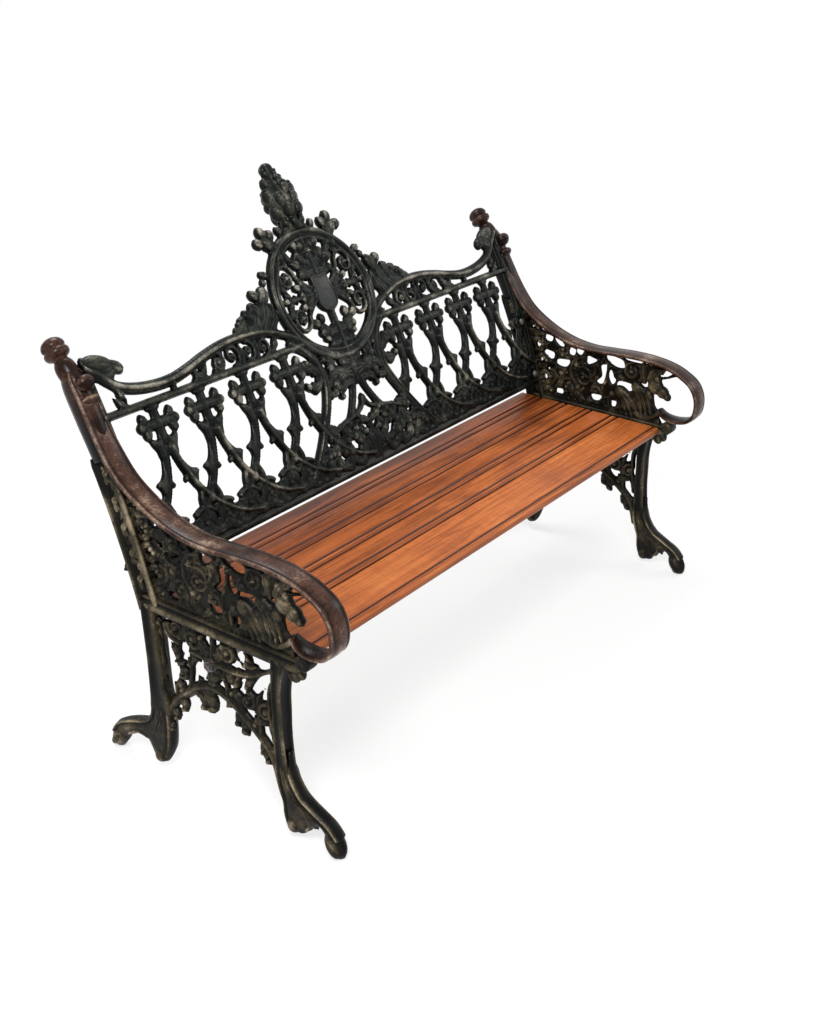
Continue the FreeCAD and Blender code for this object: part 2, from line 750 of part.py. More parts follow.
import Sketcher
slat_length = "Sizes.frame_spacing - Sizes.rail_width - 0.6"
width_cells = ["front_slat", "middle_slat", "middle_slat", "middle_slat", "rear_slat"]
for number in range(1, 6):
    node = "seat_slat_%d" % number
    width = slat_widths[number - 1]
    start = slat_starts[number - 1]
    before = ["Sizes.%s + Sizes.slat_gap" % cell for cell in width_cells[:number - 1]]
    position = " + ".join(["Sizes.seat_front"] + before)
    body = doc.addObject("PartDesign::Body", node)
    section = body.newObject("Sketcher::SketchObject", node + "_section")
    section.AttachmentSupport = (section_plane(body), [""])
    section.MapMode = "FlatFace"
    rectangle(section, [("wide", "Sizes." + width_cells[number - 1]),
                        ("thick", "Sizes.slat_thick"),
                        ("front", position),
                        ("under", "Sizes.seat_height - Sizes.slat_thick")])
    board = body.newObject("PartDesign::Pad", node + "_board")
    board.Profile = section
    board.SideType = "Symmetric"
    board.setExpression("Length", slat_length)
    groove = body.newObject("Sketcher::SketchObject", node + "_quirk")
    groove.AttachmentSupport = (section_plane(body), [""])
    groove.MapMode = "FlatFace"
    rectangle(groove, [("wide", "Sizes.groove_width"),
                       ("deep", "Sizes.groove_depth + 1"),
                       ("front", position + " + Sizes.bead_width"),
                       ("under", "Sizes.seat_height - Sizes.groove_depth")])
    quirk = body.newObject("PartDesign::Pocket", node + "_bead")
    quirk.Profile = groove
    quirk.SideType = "Symmetric"
    quirk.setExpression("Length", slat_length + " + 10")
    doc.recompute()
    nose = "Sizes.nose_round" if number == 1 else "Sizes.edge_round * 2"
    front_edges = long_edges(quirk.Shape, start, seat_top)
    if number == 1:
        front_edges += long_edges(quirk.Shape, start, seat_under)
    rounding = body.newObject("PartDesign::Fillet", node + "_nose")
    rounding.Base = (quirk, front_edges)
    rounding.setExpression("Radius", nose)
    doc.recompute()
    rear_edges = long_edges(rounding.Shape, start + width, seat_top)
    easing = body.newObject("PartDesign::Fillet", node + "_easing")
    easing.Base = (rounding, rear_edges)
    easing.setExpression("Radius", "Sizes.edge_round")
    # pilot holes from below, for the two ledge screws and the strap screw
    drill = body.newObject("Sketcher::SketchObject", node + "_pilots")
    for feature in body.Origin.OriginFeatures:
        if feature.Role == "XY_Plane":
            drill.AttachmentSupport = (feature, [""])
    drill.MapMode = "FlatFace"
    drill.setExpression("AttachmentOffset.Base.z", "Sizes.seat_height - Sizes.slat_thick")
    reach = "Sizes.frame_spacing / 2 - Sizes.rail_width / 2 - Sizes.ledge_width / 2"
    row = position + " + Sizes.%s / 2" % width_cells[number - 1]
    for hole, x in enumerate((screw_x, -screw_x, 0.0)):
        drill.addGeometry(Part.Circle(Vector(x, screw_rows[number - 1], 0), Vector(0, 0, 1), 2), False)
        index = drill.addConstraint(Sketcher.Constraint("Radius", hole, 2.0))
        drill.setExpression("Constraints[%d]" % index, "Sizes.screw_radius + 0.1")
        index = drill.addConstraint(Sketcher.Constraint("DistanceY", -1, 1, hole, 3, 7.0))
        drill.setExpression("Constraints[%d]" % index, row)
    for hole, ends in ((0, (-1, 1, 0, 3)), (1, (1, 3, -1, 1))):
        index = drill.addConstraint(Sketcher.Constraint("DistanceX", *ends, 7.0))
        drill.setExpression("Constraints[%d]" % index, reach)
    drill.addConstraint(Sketcher.Constraint("PointOnObject", 2, 3, -2))
    pilots = body.newObject("PartDesign::Pocket", node + "_pilot_holes")
    pilots.Profile = drill
    pilots.Reversed = True
    pilots.setExpression("Length", "Sizes.slat_thick * 0.6")
    body.Tip = pilots
    doc.recompute()


def plain(kind, name, **cells):
    item = doc.addObject(kind, name)
    for prop, expression in cells.items():
        item.setExpression(prop.replace("_", "."), expression)
    return item


# Flat strap under the middle of the boards
strap_bar = plain("Part::Box", "strap_bar", Width="Sizes.front_slat + 3 * Sizes.middle_slat"
                  " + Sizes.rear_slat + 4 * Sizes.slat_gap - 50",
                  Length="Sizes.strap_wide", Height="Sizes.strap_thick",
                  Placement_Base_x="-Sizes.strap_wide / 2",
                  Placement_Base_y="Sizes.seat_front + 30",
                  Placement_Base_z="Sizes.seat_height - Sizes.slat_thick - Sizes.strap_thick")
strap_holes = []
for y in screw_rows:
    hole = plain("Part::Cylinder", "strap_hole", Radius="Sizes.screw_radius + 0.3",
                 Height="Sizes.strap_thick + 2",
                 Placement_Base_z="Sizes.seat_height - Sizes.slat_thick - Sizes.strap_thick - 1")
    hole.Placement.Base.y = y
    strap_holes.append(hole)
strap_drill = doc.addObject("Part::Compound", "strap_drill")
strap_drill.Links = strap_holes
strap = doc.addObject("Part::Cut", "centre_strap")
strap.Base = strap_bar
strap.Tool = strap_drill

# Tie rod between the end castings, with its washers and nuts outside
rod_out = 7
rod_reach = half + rod_out + 2.5 + 8 + 3
tie_rod = plain("Part::Cylinder", "tie_rod", Radius="Sizes.tie_radius")
tie_rod.Height = 2 * rod_reach
tie_rod.Placement = Placement(Vector(-rod_reach, rosette[0], rosette[1]),
                              Rotation(Vector(0, 0, 1), Vector(1, 0, 0)))


def group(name, shapes):
    item = doc.addObject("Part::Feature", name)
    item.Shape = Part.makeCompound(shapes)
    return item


def washer(radius, hole, thick):
    return turned([(radius, 0), (radius, thick)]).cut(bore(hole, thick))


def hex_nut(across_corners, hole, thick):
    corners = [Vector(across_corners / 2 * math.cos(math.radians(60 * k)),
                      across_corners / 2 * math.sin(math.radians(60 * k)), 0) for k in range(7)]
    block = Part.Face(Part.makePolygon(corners)).extrude(Vector(0, 0, thick))
    return block.cut(bore(hole, thick))


def placed(shape, placement):
    copy = shape.copy()
    copy.Placement = placement
    return copy


rod = size("tie_radius")
outward_turns = [(1, Rotation(Vector(0, 0, 1), Vector(1, 0, 0))),
                 (-1, Rotation(Vector(0, 0, 1), Vector(-1, 0, 0)))]
rod_washer = washer(rod * 2.1, rod * 1.04 + 0.2, 2.5)
rod_nut = hex_nut(rod * 3.6, rod * 1.04 + 0.05, 8)
group("tie_rod_washers", [placed(rod_washer, Placement(
    Vector(side * (half + rod_out), rosette[0], rosette[1]), turn)) for side, turn in outward_turns])
group("tie_rod_nuts", [placed(rod_nut, Placement(
    Vector(side * (half + rod_out + 2.5), rosette[0], rosette[1]), turn)) for side, turn in outward_turns])


# Wood screws driven up from below, pan heads under the ledge or strap
def wood_screw(grip):
    shank = size("screw_radius")
    bite = size("slat_thick") * 0.6 - 1
    return turned([(shank * 2.1, -2.6), (shank * 2.1, 0), (shank, 0.02),
                   (shank, grip + bite - 3), (shank * 0.3, grip + bite)], SCREW_SIDES)


ledge_screw = wood_screw(size("ledge_thick"))
ledge_face = seat_under - size("ledge_thick")
group("slat_screws", [placed(ledge_screw, Placement(Vector(side * screw_x, y, ledge_face), Rotation()))
                      for side in (-1, 1) for y in screw_rows])
strap_screw = wood_screw(size("strap_thick"))
strap_face = seat_under - size("strap_thick")
group("strap_screws", [placed(strap_screw, Placement(Vector(0, y, strap_face), Rotation()))
                       for y in screw_rows])

# Bolts of the back: round heads in front, washers and nuts behind the lugs
shank = size("bolt_radius")
front_face = -moulding_front
rear_face = moulding_rear + CLEARANCE + size("lug_thick")
SEATING = 0.06
bolt = turned([(shank * 1.2, -6), (shank * 2.2, -3), (shank * 2.4, 0), (shank, 0.02),
               (shank, rear_face - front_face + 12)])
bolt_washer = washer(shank * 2.1, shank + 0.2, 1.6)
bolt_nut = hex_nut(shank * 3.75, shank + 0.05, 6.5)
bolt_spots = [(side * bolt_x, z) for side in (-1, 1) for z in bolt_levels]
group("back_bolts", [placed(bolt, bolt_place(x, z, front_face - SEATING)) for x, z in bolt_spots])
group("back_washers", [placed(bolt_washer, bolt_place(x, z, rear_face + SEATING))
                       for x, z in bolt_spots])
group("back_nuts", [placed(bolt_nut, bolt_place(x, z, rear_face + SEATING + 1.6))
                    for x, z in bolt_spots])
doc.recompute()

# Finished pieces, moved so that the bench stands centred on the origin
NODES = ["left_end_frame", "right_end_frame", "back_panel", "crest_finial", "left_stile_knob",
         "right_stile_knob", "seat_slat_1", "seat_slat_2", "seat_slat_3", "seat_slat_4",
         "seat_slat_5", "centre_strap", "tie_rod", "tie_rod_nuts", "tie_rod_washers",
         "slat_screws", "strap_screws", "back_bolts", "back_washers", "back_nuts"]
extent = FreeCAD.BoundBox()
for node in NODES:
    extent.add(doc.getObject(node).Shape.optimalBoundingBox(True, False))
to_middle = Vector(-(extent.XMin + extent.XMax) / 2, -(extent.YMin + extent.YMax) / 2, -extent.ZMin)

for item in doc.Objects:
    if "Invalid" in item.State or "Error" in item.State:
        raise RuntimeError(item.Name + " did not compute")
os.makedirs("parts", exist_ok=True)
for node in NODES:
    item = doc.getObject(node)
    item.Label = node
    shape = item.Shape.copy()
    shape.translate(to_middle)
    if shape.isNull() or not shape.isValid():
        raise RuntimeError(node + " is not a sound solid")
    shape.exportStep("parts/%s.step" % node)
    print(node, len(shape.Solids), round(shape.Volume / 1000), "cm3")
print("extent", extent, "moved", to_middle)
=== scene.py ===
import bmesh
import bpy
import math
import numpy as np
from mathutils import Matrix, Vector


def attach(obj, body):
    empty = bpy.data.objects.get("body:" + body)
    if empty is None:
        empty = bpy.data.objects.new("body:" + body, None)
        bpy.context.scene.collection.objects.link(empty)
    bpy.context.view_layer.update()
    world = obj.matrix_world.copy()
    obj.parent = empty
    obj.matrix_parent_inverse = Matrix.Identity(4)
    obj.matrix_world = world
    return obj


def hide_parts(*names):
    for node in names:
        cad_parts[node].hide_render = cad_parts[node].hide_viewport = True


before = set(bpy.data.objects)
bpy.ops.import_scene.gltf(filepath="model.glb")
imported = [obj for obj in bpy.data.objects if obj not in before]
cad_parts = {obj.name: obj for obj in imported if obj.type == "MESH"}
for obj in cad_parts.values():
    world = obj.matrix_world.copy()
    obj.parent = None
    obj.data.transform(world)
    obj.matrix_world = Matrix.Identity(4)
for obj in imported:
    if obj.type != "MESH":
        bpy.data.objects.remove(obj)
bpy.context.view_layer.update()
scene = bpy.context.scene
scene.view_settings.view_transform = "Standard"

# Studio: a pale floor under the bench, a white surround, one broad soft lamp
# above the viewer, a weaker one from the right and one over the back.


def linear(code):
    parts = [int(code[i:i + 2], 16) / 255 for i in (1, 3, 5)]
    return [c / 12.92 if c <= 0.04045 else ((c + 0.055) / 1.055) ** 2.4 for c in parts] + [1.0]


def add_node(tree, kind, settings=None, **links):
    made = tree.nodes.new(kind)
    for name, value in (settings or {}).items():
        if isinstance(name, int) or name in made.inputs:
            made.inputs[name].default_value = value
        else:
            setattr(made, name, value)
    # a link names its socket, or counts it as _0, _1 and so on
    for socket, source in links.items():
        key = int(socket[1:]) if socket[0] == "_" else socket.replace("_", " ")
        tree.links.new(source, made.inputs[key])
    return made


def new_material(name):
    made = bpy.data.materials.new(name)
    made.use_nodes = True
    made.node_tree.nodes.clear()
    return made, made.node_tree


def background_rays(tree):
    path = add_node(tree, "ShaderNodeLightPath")
    share = path.outputs["Is Camera Ray"]
    for kind in ("Is Glossy Ray", "Is Transmission Ray"):
        share = add_node(tree, "ShaderNodeMath", {"operation": "MAXIMUM"}, _0=share,
                         _1=path.outputs[kind]).outputs[0]
    return share


surround = bpy.data.worlds.new("white studio")
scene.world = surround
surround.use_nodes = True
sky = surround.node_tree
sky.nodes.clear()
# the object is lit at 0.42, while the camera and reflections see full white
glow = add_node(sky, "ShaderNodeMix", {"data_type": "FLOAT", 2: 0.42, 3: 1.0}, _0=background_rays(sky))
ambient = add_node(sky, "ShaderNodeBackground", {"Color": linear("#ffffff")}, Strength=glow.outputs[0])
add_node(sky, "ShaderNodeOutputWorld", Surface=ambient.outputs[0])

FLOOR_HALF = 40
corners = [(x * FLOOR_HALF, y * FLOOR_HALF, 0) for x, y in ((-1, -1), (1, -1), (1, 1), (-1, 1))]
floor_mesh = bpy.data.meshes.new("studio_floor")
floor_mesh.from_pydata(corners, [], [(0, 1, 2, 3)])
floor = bpy.data.objects.new("studio_floor", floor_mesh)
scene.collection.objects.link(floor)
paper, tree = new_material("white paper sweep")
matt = add_node(tree, "ShaderNodeBsdfDiffuse", {"Color": linear("#fbfbfa")})
lit = add_node(tree, "ShaderNodeEmission", {"Color": linear("#ffffff"), "Strength": 1.0})
# the paper takes shadow near the bench and fades to plain white 2.4 m away
spot = add_node(tree, "ShaderNodeTexCoord").outputs["Object"]
away = add_node(tree, "ShaderNodeVectorMath", {"operation": "LENGTH"}, _0=spot)
fade = add_node(tree, "ShaderNodeMapRange", {1: 0.8, 2: 2.4, 3: 0.72, 4: 1.0}, _0=away.outputs["Value"])
share = add_node(tree, "ShaderNodeMath", {"operation": "MULTIPLY"}, _0=background_rays(tree),
                 _1=fade.outputs[0])
blend = add_node(tree, "ShaderNodeMixShader", _0=share.outputs[0], _1=matt.outputs[0], _2=lit.outputs[0])
add_node(tree, "ShaderNodeOutputMaterial", Surface=blend.outputs[0])
floor_mesh.materials.append(paper)

for name, power, span, spot, aim in (("key_softbox", 150, 1.3, (-2.6, -1.4, 3.2), (0, 0, 0.5)),
                                     ("fill_softbox", 30, 1.6, (2.8, -2.0, 2.4), (0.2, 0, 0.5)),
                                     ("top_softbox", 70, 1.4, (0.2, 1.4, 3.2), (0, 0.1, 0.5))):
    lamp = bpy.data.lights.new(name, "AREA")
    lamp.energy = power
    lamp.shape = "DISK"
    lamp.size = span
    rig = bpy.data.objects.new(name, lamp)
    rig.location = spot
    rig.rotation_euler = (Vector(aim) - Vector(spot)).to_track_quat("-Z", "Y").to_euler()
    scene.collection.objects.link(rig)

# Viewer: stands off the bench's left front corner, a little above the back, and
# looks down along the seat. Depths count back from a line before the toes, and
# the frame's origin lies MIDDLE behind that line, in millimetres.
MIDDLE = 440.53
EYE = (-2349.07, -1251.87, 1725.12)
EYE_TURN = (64.5141, -1.3410, -53.8525)
FOCAL_PIXELS = 1328.86
PICTURE_PIXELS = 1024
lens = bpy.data.cameras.new("viewer")
lens.sensor_fit = "VERTICAL"
lens.sensor_height = 24.0
lens.lens = FOCAL_PIXELS / PICTURE_PIXELS * lens.sensor_height
viewer = bpy.data.objects.new("viewer", lens)
viewer.location = (EYE[0] / 1000, (EYE[1] - MIDDLE) / 1000, EYE[2] / 1000)
viewer.rotation_euler = [math.radians(a) for a in EYE_TURN]
scene.collection.objects.link(viewer)
scene.camera = viewer

# Cast iron: poured in green sand, painted dark green many years ago. The paint is near black
# in the hollows, partly dirt and partly painted shade, and greyer and half worn away on the high
# places, where the pale colour is partly a painted highlight.


def iron_finish(name, hollow_dirt_and_shade, paint, worn, bare_and_highlight, gloss, wear_bias):
    made, tree = new_material(name)
    place = add_node(tree, "ShaderNodeTexCoord").outputs["Object"]
    height = add_node(tree, "ShaderNodeAttribute", {"attribute_name": "relief"}).outputs["Fac"]
    # patches of worn paint 60 mm across, and speckle 6 mm across, in metres of object space
    patch = add_node(tree, "ShaderNodeTexNoise", {"Scale": 1 / 0.06, "Detail": 6.0}, Vector=place)
    speck = add_node(tree, "ShaderNodeTexNoise", {"Scale": 1 / 0.006, "Detail": 3.0}, Vector=place)
    uneven = add_node(tree, "ShaderNodeMath", {"operation": "MULTIPLY_ADD", 1: 0.80, 2: -0.40 + wear_bias},
                      _0=patch.outputs["Fac"])
    grainy = add_node(tree, "ShaderNodeMath", {"operation": "MULTIPLY_ADD", 1: 0.30, 2: -0.15},
                      _0=speck.outputs["Fac"])
    level = add_node(tree, "ShaderNodeMath", {"operation": "ADD"}, _0=height, _1=uneven.outputs[0])
    level = add_node(tree, "ShaderNodeMath", {"operation": "ADD"}, _0=level.outputs[0],
                     _1=grainy.outputs[0])
    coat = add_node(tree, "ShaderNodeValToRGB", _0=level.outputs[0])
    stops = coat.color_ramp.elements
    stops[0].position = 0.30
    stops[0].color = linear(hollow_dirt_and_shade)
    stops[1].position = 0.52
    stops[1].color = linear(paint)
    for spot, shade in ((0.70, worn), (0.92, bare_and_highlight)):
        stops.new(spot).color = linear(shade)
    dull = add_node(tree, "ShaderNodeMapRange", {3: gloss + 0.12, 4: gloss - 0.06}, _0=level.outputs[0])
    # sand grain 2.5 mm across, drawn coarser than the real 0.3 mm so that it shows
    grain = add_node(tree, "ShaderNodeTexNoise", {"Scale": 1 / 0.0025, "Detail": 2.0}, Vector=place)
    bumpy = add_node(tree, "ShaderNodeBump", {"Strength": 0.25, "Distance": 0.0012},
                     Height=grain.outputs["Fac"])
    skin = add_node(tree, "ShaderNodeBsdfPrincipled", {"Metallic": 0.0, "Specular IOR Level": 0.11},
                    Base_Color=coat.outputs["Color"], Roughness=dull.outputs[0],
                    Normal=bumpy.outputs["Normal"])
    add_node(tree, "ShaderNodeOutputMaterial", Surface=skin.outputs[0])
    return made


green_iron = iron_finish("cast iron under worn green paint", "#020403", "#0d120f", "#31322b", "#8d877b",
                         0.27, 0.01)
olive_iron = iron_finish("cast iron with the green paint gone olive", "#020202", "#14120c", "#3d3627",
                         "#887b65", 0.36, 0.04)
brown_iron = iron_finish("cast iron rubbed brown by hands", "#040201", "#1f110c", "#453027", "#968371",
                         0.21, 0.04)


def to_row(points):
    moved = np.asarray(points, float).copy()
    moved[:, 1] -= MIDDLE
    return moved / 1000


def make_piece(name, points, faces, relief, finish):
    mesh = bpy.data.meshes.new(name)
    mesh.from_pydata(to_row(points).tolist(), [], faces)
    mesh.update()
    form = bmesh.new()
    form.from_mesh(mesh)
    bmesh.ops.recalc_face_normals(form, faces=form.faces)
    form.to_mesh(mesh)
    form.free()
    mesh.polygons.foreach_set("use_smooth", np.ones(len(mesh.polygons), bool))
    mark = mesh.attributes.new("relief", "FLOAT", "POINT")
    mark.data.foreach_set("value", np.asarray(relief).astype(np.float32))
    mesh.materials.append(finish)
    piece = bpy.data.objects.new(name, mesh)
    scene.collection.objects.link(piece)
    return piece


def merged(parts):
    points = []
    faces = []
    relief = []
    count = 0
    for p, f, r in parts:
        points.append(np.asarray(p, float))
        faces += [[i + count for i in face] for face in f]
        relief.append(np.full(len(p), r) if np.isscalar(r) else np.asarray(r))
        count += len(p)
    return np.vstack(points), faces, np.concatenate(relief)


# Back: one curved iron casting, 1464 mm long, bolted to lugs on the stiles. Its
# pattern board is carved with ribs, leaves and scrolls, each with its own height,
# and pressed into the sand.


def flowing(points, count=None):
    p = np.asarray(points, float)
    count = count or 8 * (len(p) - 1)
    ends = np.vstack([2 * p[0] - p[1], p, 2 * p[-1] - p[-2]])
    spots = np.linspace(0, len(p) - 1, count + 1)
    k = np.minimum(spots.astype(int), len(p) - 2)
    t = (spots - k)[:, None]
    a, b, c, d = ends[k], ends[k + 1], ends[k + 2], ends[k + 3]
    return 0.5 * (2 * b + (c - a) * t + (2 * a - 5 * b + 4 * c - d) * t ** 2
                  + (3 * b - a - 3 * c + d) * t ** 3)


def rounded(share):
    share = np.clip(share, 0, 1)
    return np.sqrt(np.clip(1 - (1 - share) ** 2, 0, 1))


class PatternBoard:
    def __init__(self, left, right, bottom, top, step):
        self.step = step
        self.u = np.arange(left, right + step, step)
        self.v = np.arange(bottom, top + step, step)
        self.U, self.V = np.meshgrid(self.u, self.v, indexing="ij")
        self.edge = np.full(self.U.shape, 40.0)
        self.height = np.zeros(self.U.shape)

    def field(self, points, reach):
        p = np.atleast_2d(np.asarray(points, float))
        low = p.min(0) - reach
        high = p.max(0) + reach
        i = np.clip(np.searchsorted(self.u, (low[0], high[0])), 0, len(self.u))
        j = np.clip(np.searchsorted(self.v, (low[1], high[1])), 0, len(self.v))
        return np.s_[i[0]:i[1], j[0]:j[1]]

    def press(self, where, edge, height, fillet=5.0):
        old = self.edge[where]
        mix = np.clip(0.5 + 0.5 * (old - edge) / fillet, 0, 1)
        self.edge[where] = old * (1 - mix) + edge * mix - fillet * mix * (1 - mix)
        self.height[where] = np.maximum(self.height[where], np.where(edge < 0, height, 0))

    def distance(self, where, points):
        U = self.U[where]
        V = self.V[where]
        best = np.full(U.shape, 1e9)
        along = np.zeros(U.shape)
        p = np.asarray(points, float)
        steps = np.hypot(*(p[1:] - p[:-1]).T)
        run = np.concatenate([[0], np.cumsum(steps)])
        for k in range(len(p) - 1):
            d = p[k + 1] - p[k]
            t = np.clip(((U - p[k, 0]) * d[0] + (V - p[k, 1]) * d[1]) / max(steps[k] ** 2, 1e-9), 0, 1)
            gap = np.hypot(U - p[k, 0] - t * d[0], V - p[k, 1] - t * d[1])
            near = gap < best
            best[near] = gap[near]
            along[near] = ((run[k] + t * steps[k]) / run[-1])[near]
        return best, along

    def rib(self, points, width, top, end_width=None, grooves=0.0, fillet=5.0):
        widest = max(width, end_width or width)
        where = self.field(points, widest + 10)
        gap, along = self.distance(where, points)
        half = (width + ((end_width or width) - width) * along) / 2
        height = top * rounded((half - gap) / half)
        if grooves:
            height -= grooves * np.exp(-((gap - half * 0.52) / 1.5) ** 2)
        self.press(where, gap - half, height, fillet)

    def bud(self, centre, long_half, short_half, turn, top, slit=0.0, fillet=4.0):
        where = self.field([centre], max(long_half, short_half) + 10)
        a = math.radians(turn)
        du = self.U[where] - centre[0]
        dv = self.V[where] - centre[1]
        s = (du * math.cos(a) + dv * math.sin(a)) / long_half
        t = (dv * math.cos(a) - du * math.sin(a)) / short_half
        out = np.hypot(s, t)
        height = top * np.sqrt(np.clip(1 - out ** 2, 0, 1))
        if slit:
            height -= slit * np.exp(-(t * short_half / 1.6) ** 2) * (s < 0.75)
        self.press(where, (out - 1) * min(long_half, short_half), height, fillet)

    def leaf(self, root, tip, width, top, bend=0.0, lobes=3, curl=0.0):
        root = np.asarray(root, float)
        tip = np.asarray(tip, float)
        d = tip - root
        across = np.array([-d[1], d[0]])
        spine = flowing([root, root + d * 0.5 + across * bend, tip], 12)
        where = self.field(spine, width + 10)
        gap, along = self.distance(where, spine)
        shape = np.clip(np.sin(np.pi * np.clip(0.10 + 0.86 * along, 0, 1) ** 0.85), 0, 1) ** 0.55
        half = np.maximum(width / 2 * shape * (0.84 + 0.16 * np.cos(2 * np.pi * lobes * (along - 0.62))),
                          1.2)
        t = gap / half
        height = top * rounded(1.05 - t) * (0.78 + 0.22 * np.sin(np.pi * along))
        height -= 0.20 * top * np.exp(-(gap / 1.5) ** 2) * (along < 0.85)
        notch = 0.5 - 0.5 * np.cos(2 * np.pi * lobes * (along + 0.25 * t - 0.62))
        height -= 0.20 * top * notch * np.clip(t * 2, 0, 1)
        self.press(where, gap - half, height, 3.0)
        if curl:
            turn = math.degrees(math.atan2(d[1], d[0])) + 90
            self.bud(root + 0.90 * d, width * 0.33, width * 0.23, turn, top * 1.2, slit=curl / 4)

    def leaves(self, table, top, lobes, curl=0.0, side=1, broader=1.0):
        for root, tip, width, bend in table:
            self.leaf((side * root[0], root[1]), (side * tip[0], tip[1]), width * broader, top, bend * side,
                      lobes, curl)

    def buds(self, table, slit=0.0, side=1):
        for x, z, long_half, short_half, turn, top in table:
            self.bud((side * x, z), long_half, short_half, turn if side > 0 else 180 - turn, top, slit)

    def tuft(self, root, tip, width, top, bend=0.0):
        # a short leaf that ends in three rolled lobes
        root = np.asarray(root, float)
        d = np.asarray(tip, float) - root
        across = np.array([-d[1], d[0]]) / np.hypot(*d)
        turn = math.degrees(math.atan2(d[1], d[0]))
        self.leaf(root, root + 0.85 * d, width, top * 0.7, bend, 2)
        for way, reach, size in ((1, 0.66, 0.33), (-1, 0.66, 0.33), (0, 0.92, 0.36)):
            self.bud(root + reach * d + way * 0.40 * width * across, width * size, width * size * 0.82,
                     turn + way * 60, top * (1.0 if way else 1.15), slit=1.8)

    def flower(self, centre, radius, petals, top):
        where = self.field([centre], radius + 8)
        du = self.U[where] - centre[0]
        dv = self.V[where] - centre[1]
        out = np.hypot(du, dv)
        wave = np.cos(petals * np.arctan2(dv, du))
        rim = radius * (0.86 + 0.14 * wave)
        height = top * rounded(1 - out / rim) * (0.66 + 0.24 * wave)
        height += 0.45 * top * np.clip(1 - (out / (0.32 * radius)) ** 2, 0, 1)
        self.press(where, out - rim, height, 3.0)

    def scroll(self, centre, radius, start, turns, width, top, eye=0.0, inner=0.3):
        a = np.linspace(0, 1, int(26 * abs(turns)) + 2)
        r = radius * (1 - (1 - inner) * a)
        angle = np.radians(start) + 2 * np.pi * turns * a
        spiral = np.column_stack([centre[0] + r * np.cos(angle), centre[1] + r * np.sin(angle)])
        self.rib(spiral, width, top, width * 0.7)
        if eye:
            self.bud(centre, eye, eye, 0, top * 1.25)
        return spiral[0]

    def inside(self, outline):
        p = np.asarray(outline, float)
        closed = np.vstack([p, p[:1]])
        where = self.field(closed, 12)
        gap = self.distance(where, closed)[0]
        U = self.U[where]
        V = self.V[where]
        within = np.zeros(U.shape, bool)
        for a, b in zip(closed, closed[1:]):
            crosses = (a[1] > V) != (b[1] > V)
            reach = a[0] + (V - a[1]) / (b[1] - a[1] + 1e-12) * (b[0] - a[0])
            within ^= crosses & (U < reach)
        return where, np.where(within, -gap, gap)

    def plate(self, outline, top, rim, ease=5.0):
        where, edge = self.inside(outline)
        height = top * rounded(-edge / ease) + rim * np.exp(-((edge + 4.5) / 2.2) ** 2)
        self.press(where, edge, height)

    def pierce(self, corners, wider=1.0):
        middle = np.mean(corners, axis=0)
        corners = middle + (np.asarray(corners) - middle) * wider
        around = np.vstack([corners, corners[:2]])
        where, edge = self.inside(flowing(around, 6 * len(corners) + 6)[:6 * len(corners)])
        self.edge[where] = np.maximum(self.edge[where], -edge)
        self.height[where] *= rounded(edge / 9)

    def foliage(self, low, high, count, seed, length, top):
        draw = np.random.default_rng(seed)
        for _ in range(count):
            root = draw.uniform(low, high)
            turn = draw.uniform(0, 2 * np.pi)
            i, j = np.searchsorted(self.u, root[0]), np.searchsorted(self.v, root[1])
            if self.edge[i, j] < -4:
                tip = root + length * np.array([np.cos(turn), np.sin(turn)])
                self.leaf(root, tip, length * 0.75, top, draw.uniform(-0.3, 0.3), 2, curl=3)

    def cast(self, place, rear=None, low=-1e9, high=1e9, body=4.5, usual=8.0):
        inner = rounded(-self.edge / 6)
        face = np.maximum(self.height, body * inner)
        kept = self.edge < 0
        whole = kept[:-1, :-1] & kept[1:, :-1] & kept[:-1, 1:] & kept[1:, 1:]
        used = np.zeros(kept.shape, int)
        for a, b in ((0, 0), (1, 0), (0, 1), (1, 1)):
            used[a:a + whole.shape[0], b:b + whole.shape[1]] += whole
        rim = (used > 0) & (used < 4)
        du, dv = np.gradient(self.edge, self.step)
        slope = np.maximum(np.hypot(du, dv), 0.35)
        push = np.where(rim, np.clip(-self.edge, 0, 1.2 * self.step) / slope, 0)
        u = self.U + push * du / slope
        v = self.V + push * dv / slope
        face = np.where(rim, 0, face)
        under = face if rear is None else np.where(rim, 0, rear * inner + 0.45 * np.clip(face - 6, 0, 8))
        soft = face.copy()
        for _ in range(10):
            padded = np.pad(soft, 1, mode="edge")
            soft = (padded[:-2, 1:-1] + padded[2:, 1:-1] + padded[1:-1, :-2] + padded[1:-1, 2:]) / 4
        # worn paint and painted highlight where it stands above what is near it and above the usual face;
        # dark paint and painted shade where it lies below what is near it
        mark = np.clip(0.47 + 0.042 * (face - soft) + 0.026 * np.minimum(face - usual, 5), 0, 0.95)
        # one length of the casting, ending where the next length begins, where it is left open
        first, last = np.searchsorted(self.u, (low, high))
        here = whole.copy()
        here[:first] = False
        here[last:] = False
        i, j = np.nonzero(here)
        on = np.zeros(kept.shape, bool)
        for a, b in ((0, 0), (1, 0), (0, 1), (1, 1)):
            on[i + a, j + b] = True
        only = on & ~rim
        ids = np.full(kept.shape, -1)
        ids[on] = np.arange(on.sum())
        back_ids = ids.copy()
        back_ids[only] = on.sum() + np.arange(only.sum())
        points = np.vstack([place(u[on], v[on], face[on]), place(u[only], v[only], -under[only])])
        relief = np.concatenate([mark[on], mark[only] - (0 if rear is None else 0.04)])
        front = np.column_stack([ids[i, j], ids[i + 1, j], ids[i + 1, j + 1], ids[i, j + 1]])
        behind = np.column_stack([back_ids[i, j], back_ids[i, j + 1], back_ids[i + 1, j + 1],
                                  back_ids[i + 1, j]])
        return points, np.vstack([front, behind]).tolist(), relief


GRID = 2.0
SEAT = 419.0
CURVE = 2050.0
FOOT_LEAN = math.radians(17.3)
FOOT_DEPTH = 495.0
AXIS_Y = FOOT_DEPTH + CURVE * math.cos(FOOT_LEAN)
AXIS_Z = SEAT - CURVE * math.sin(FOOT_LEAN)


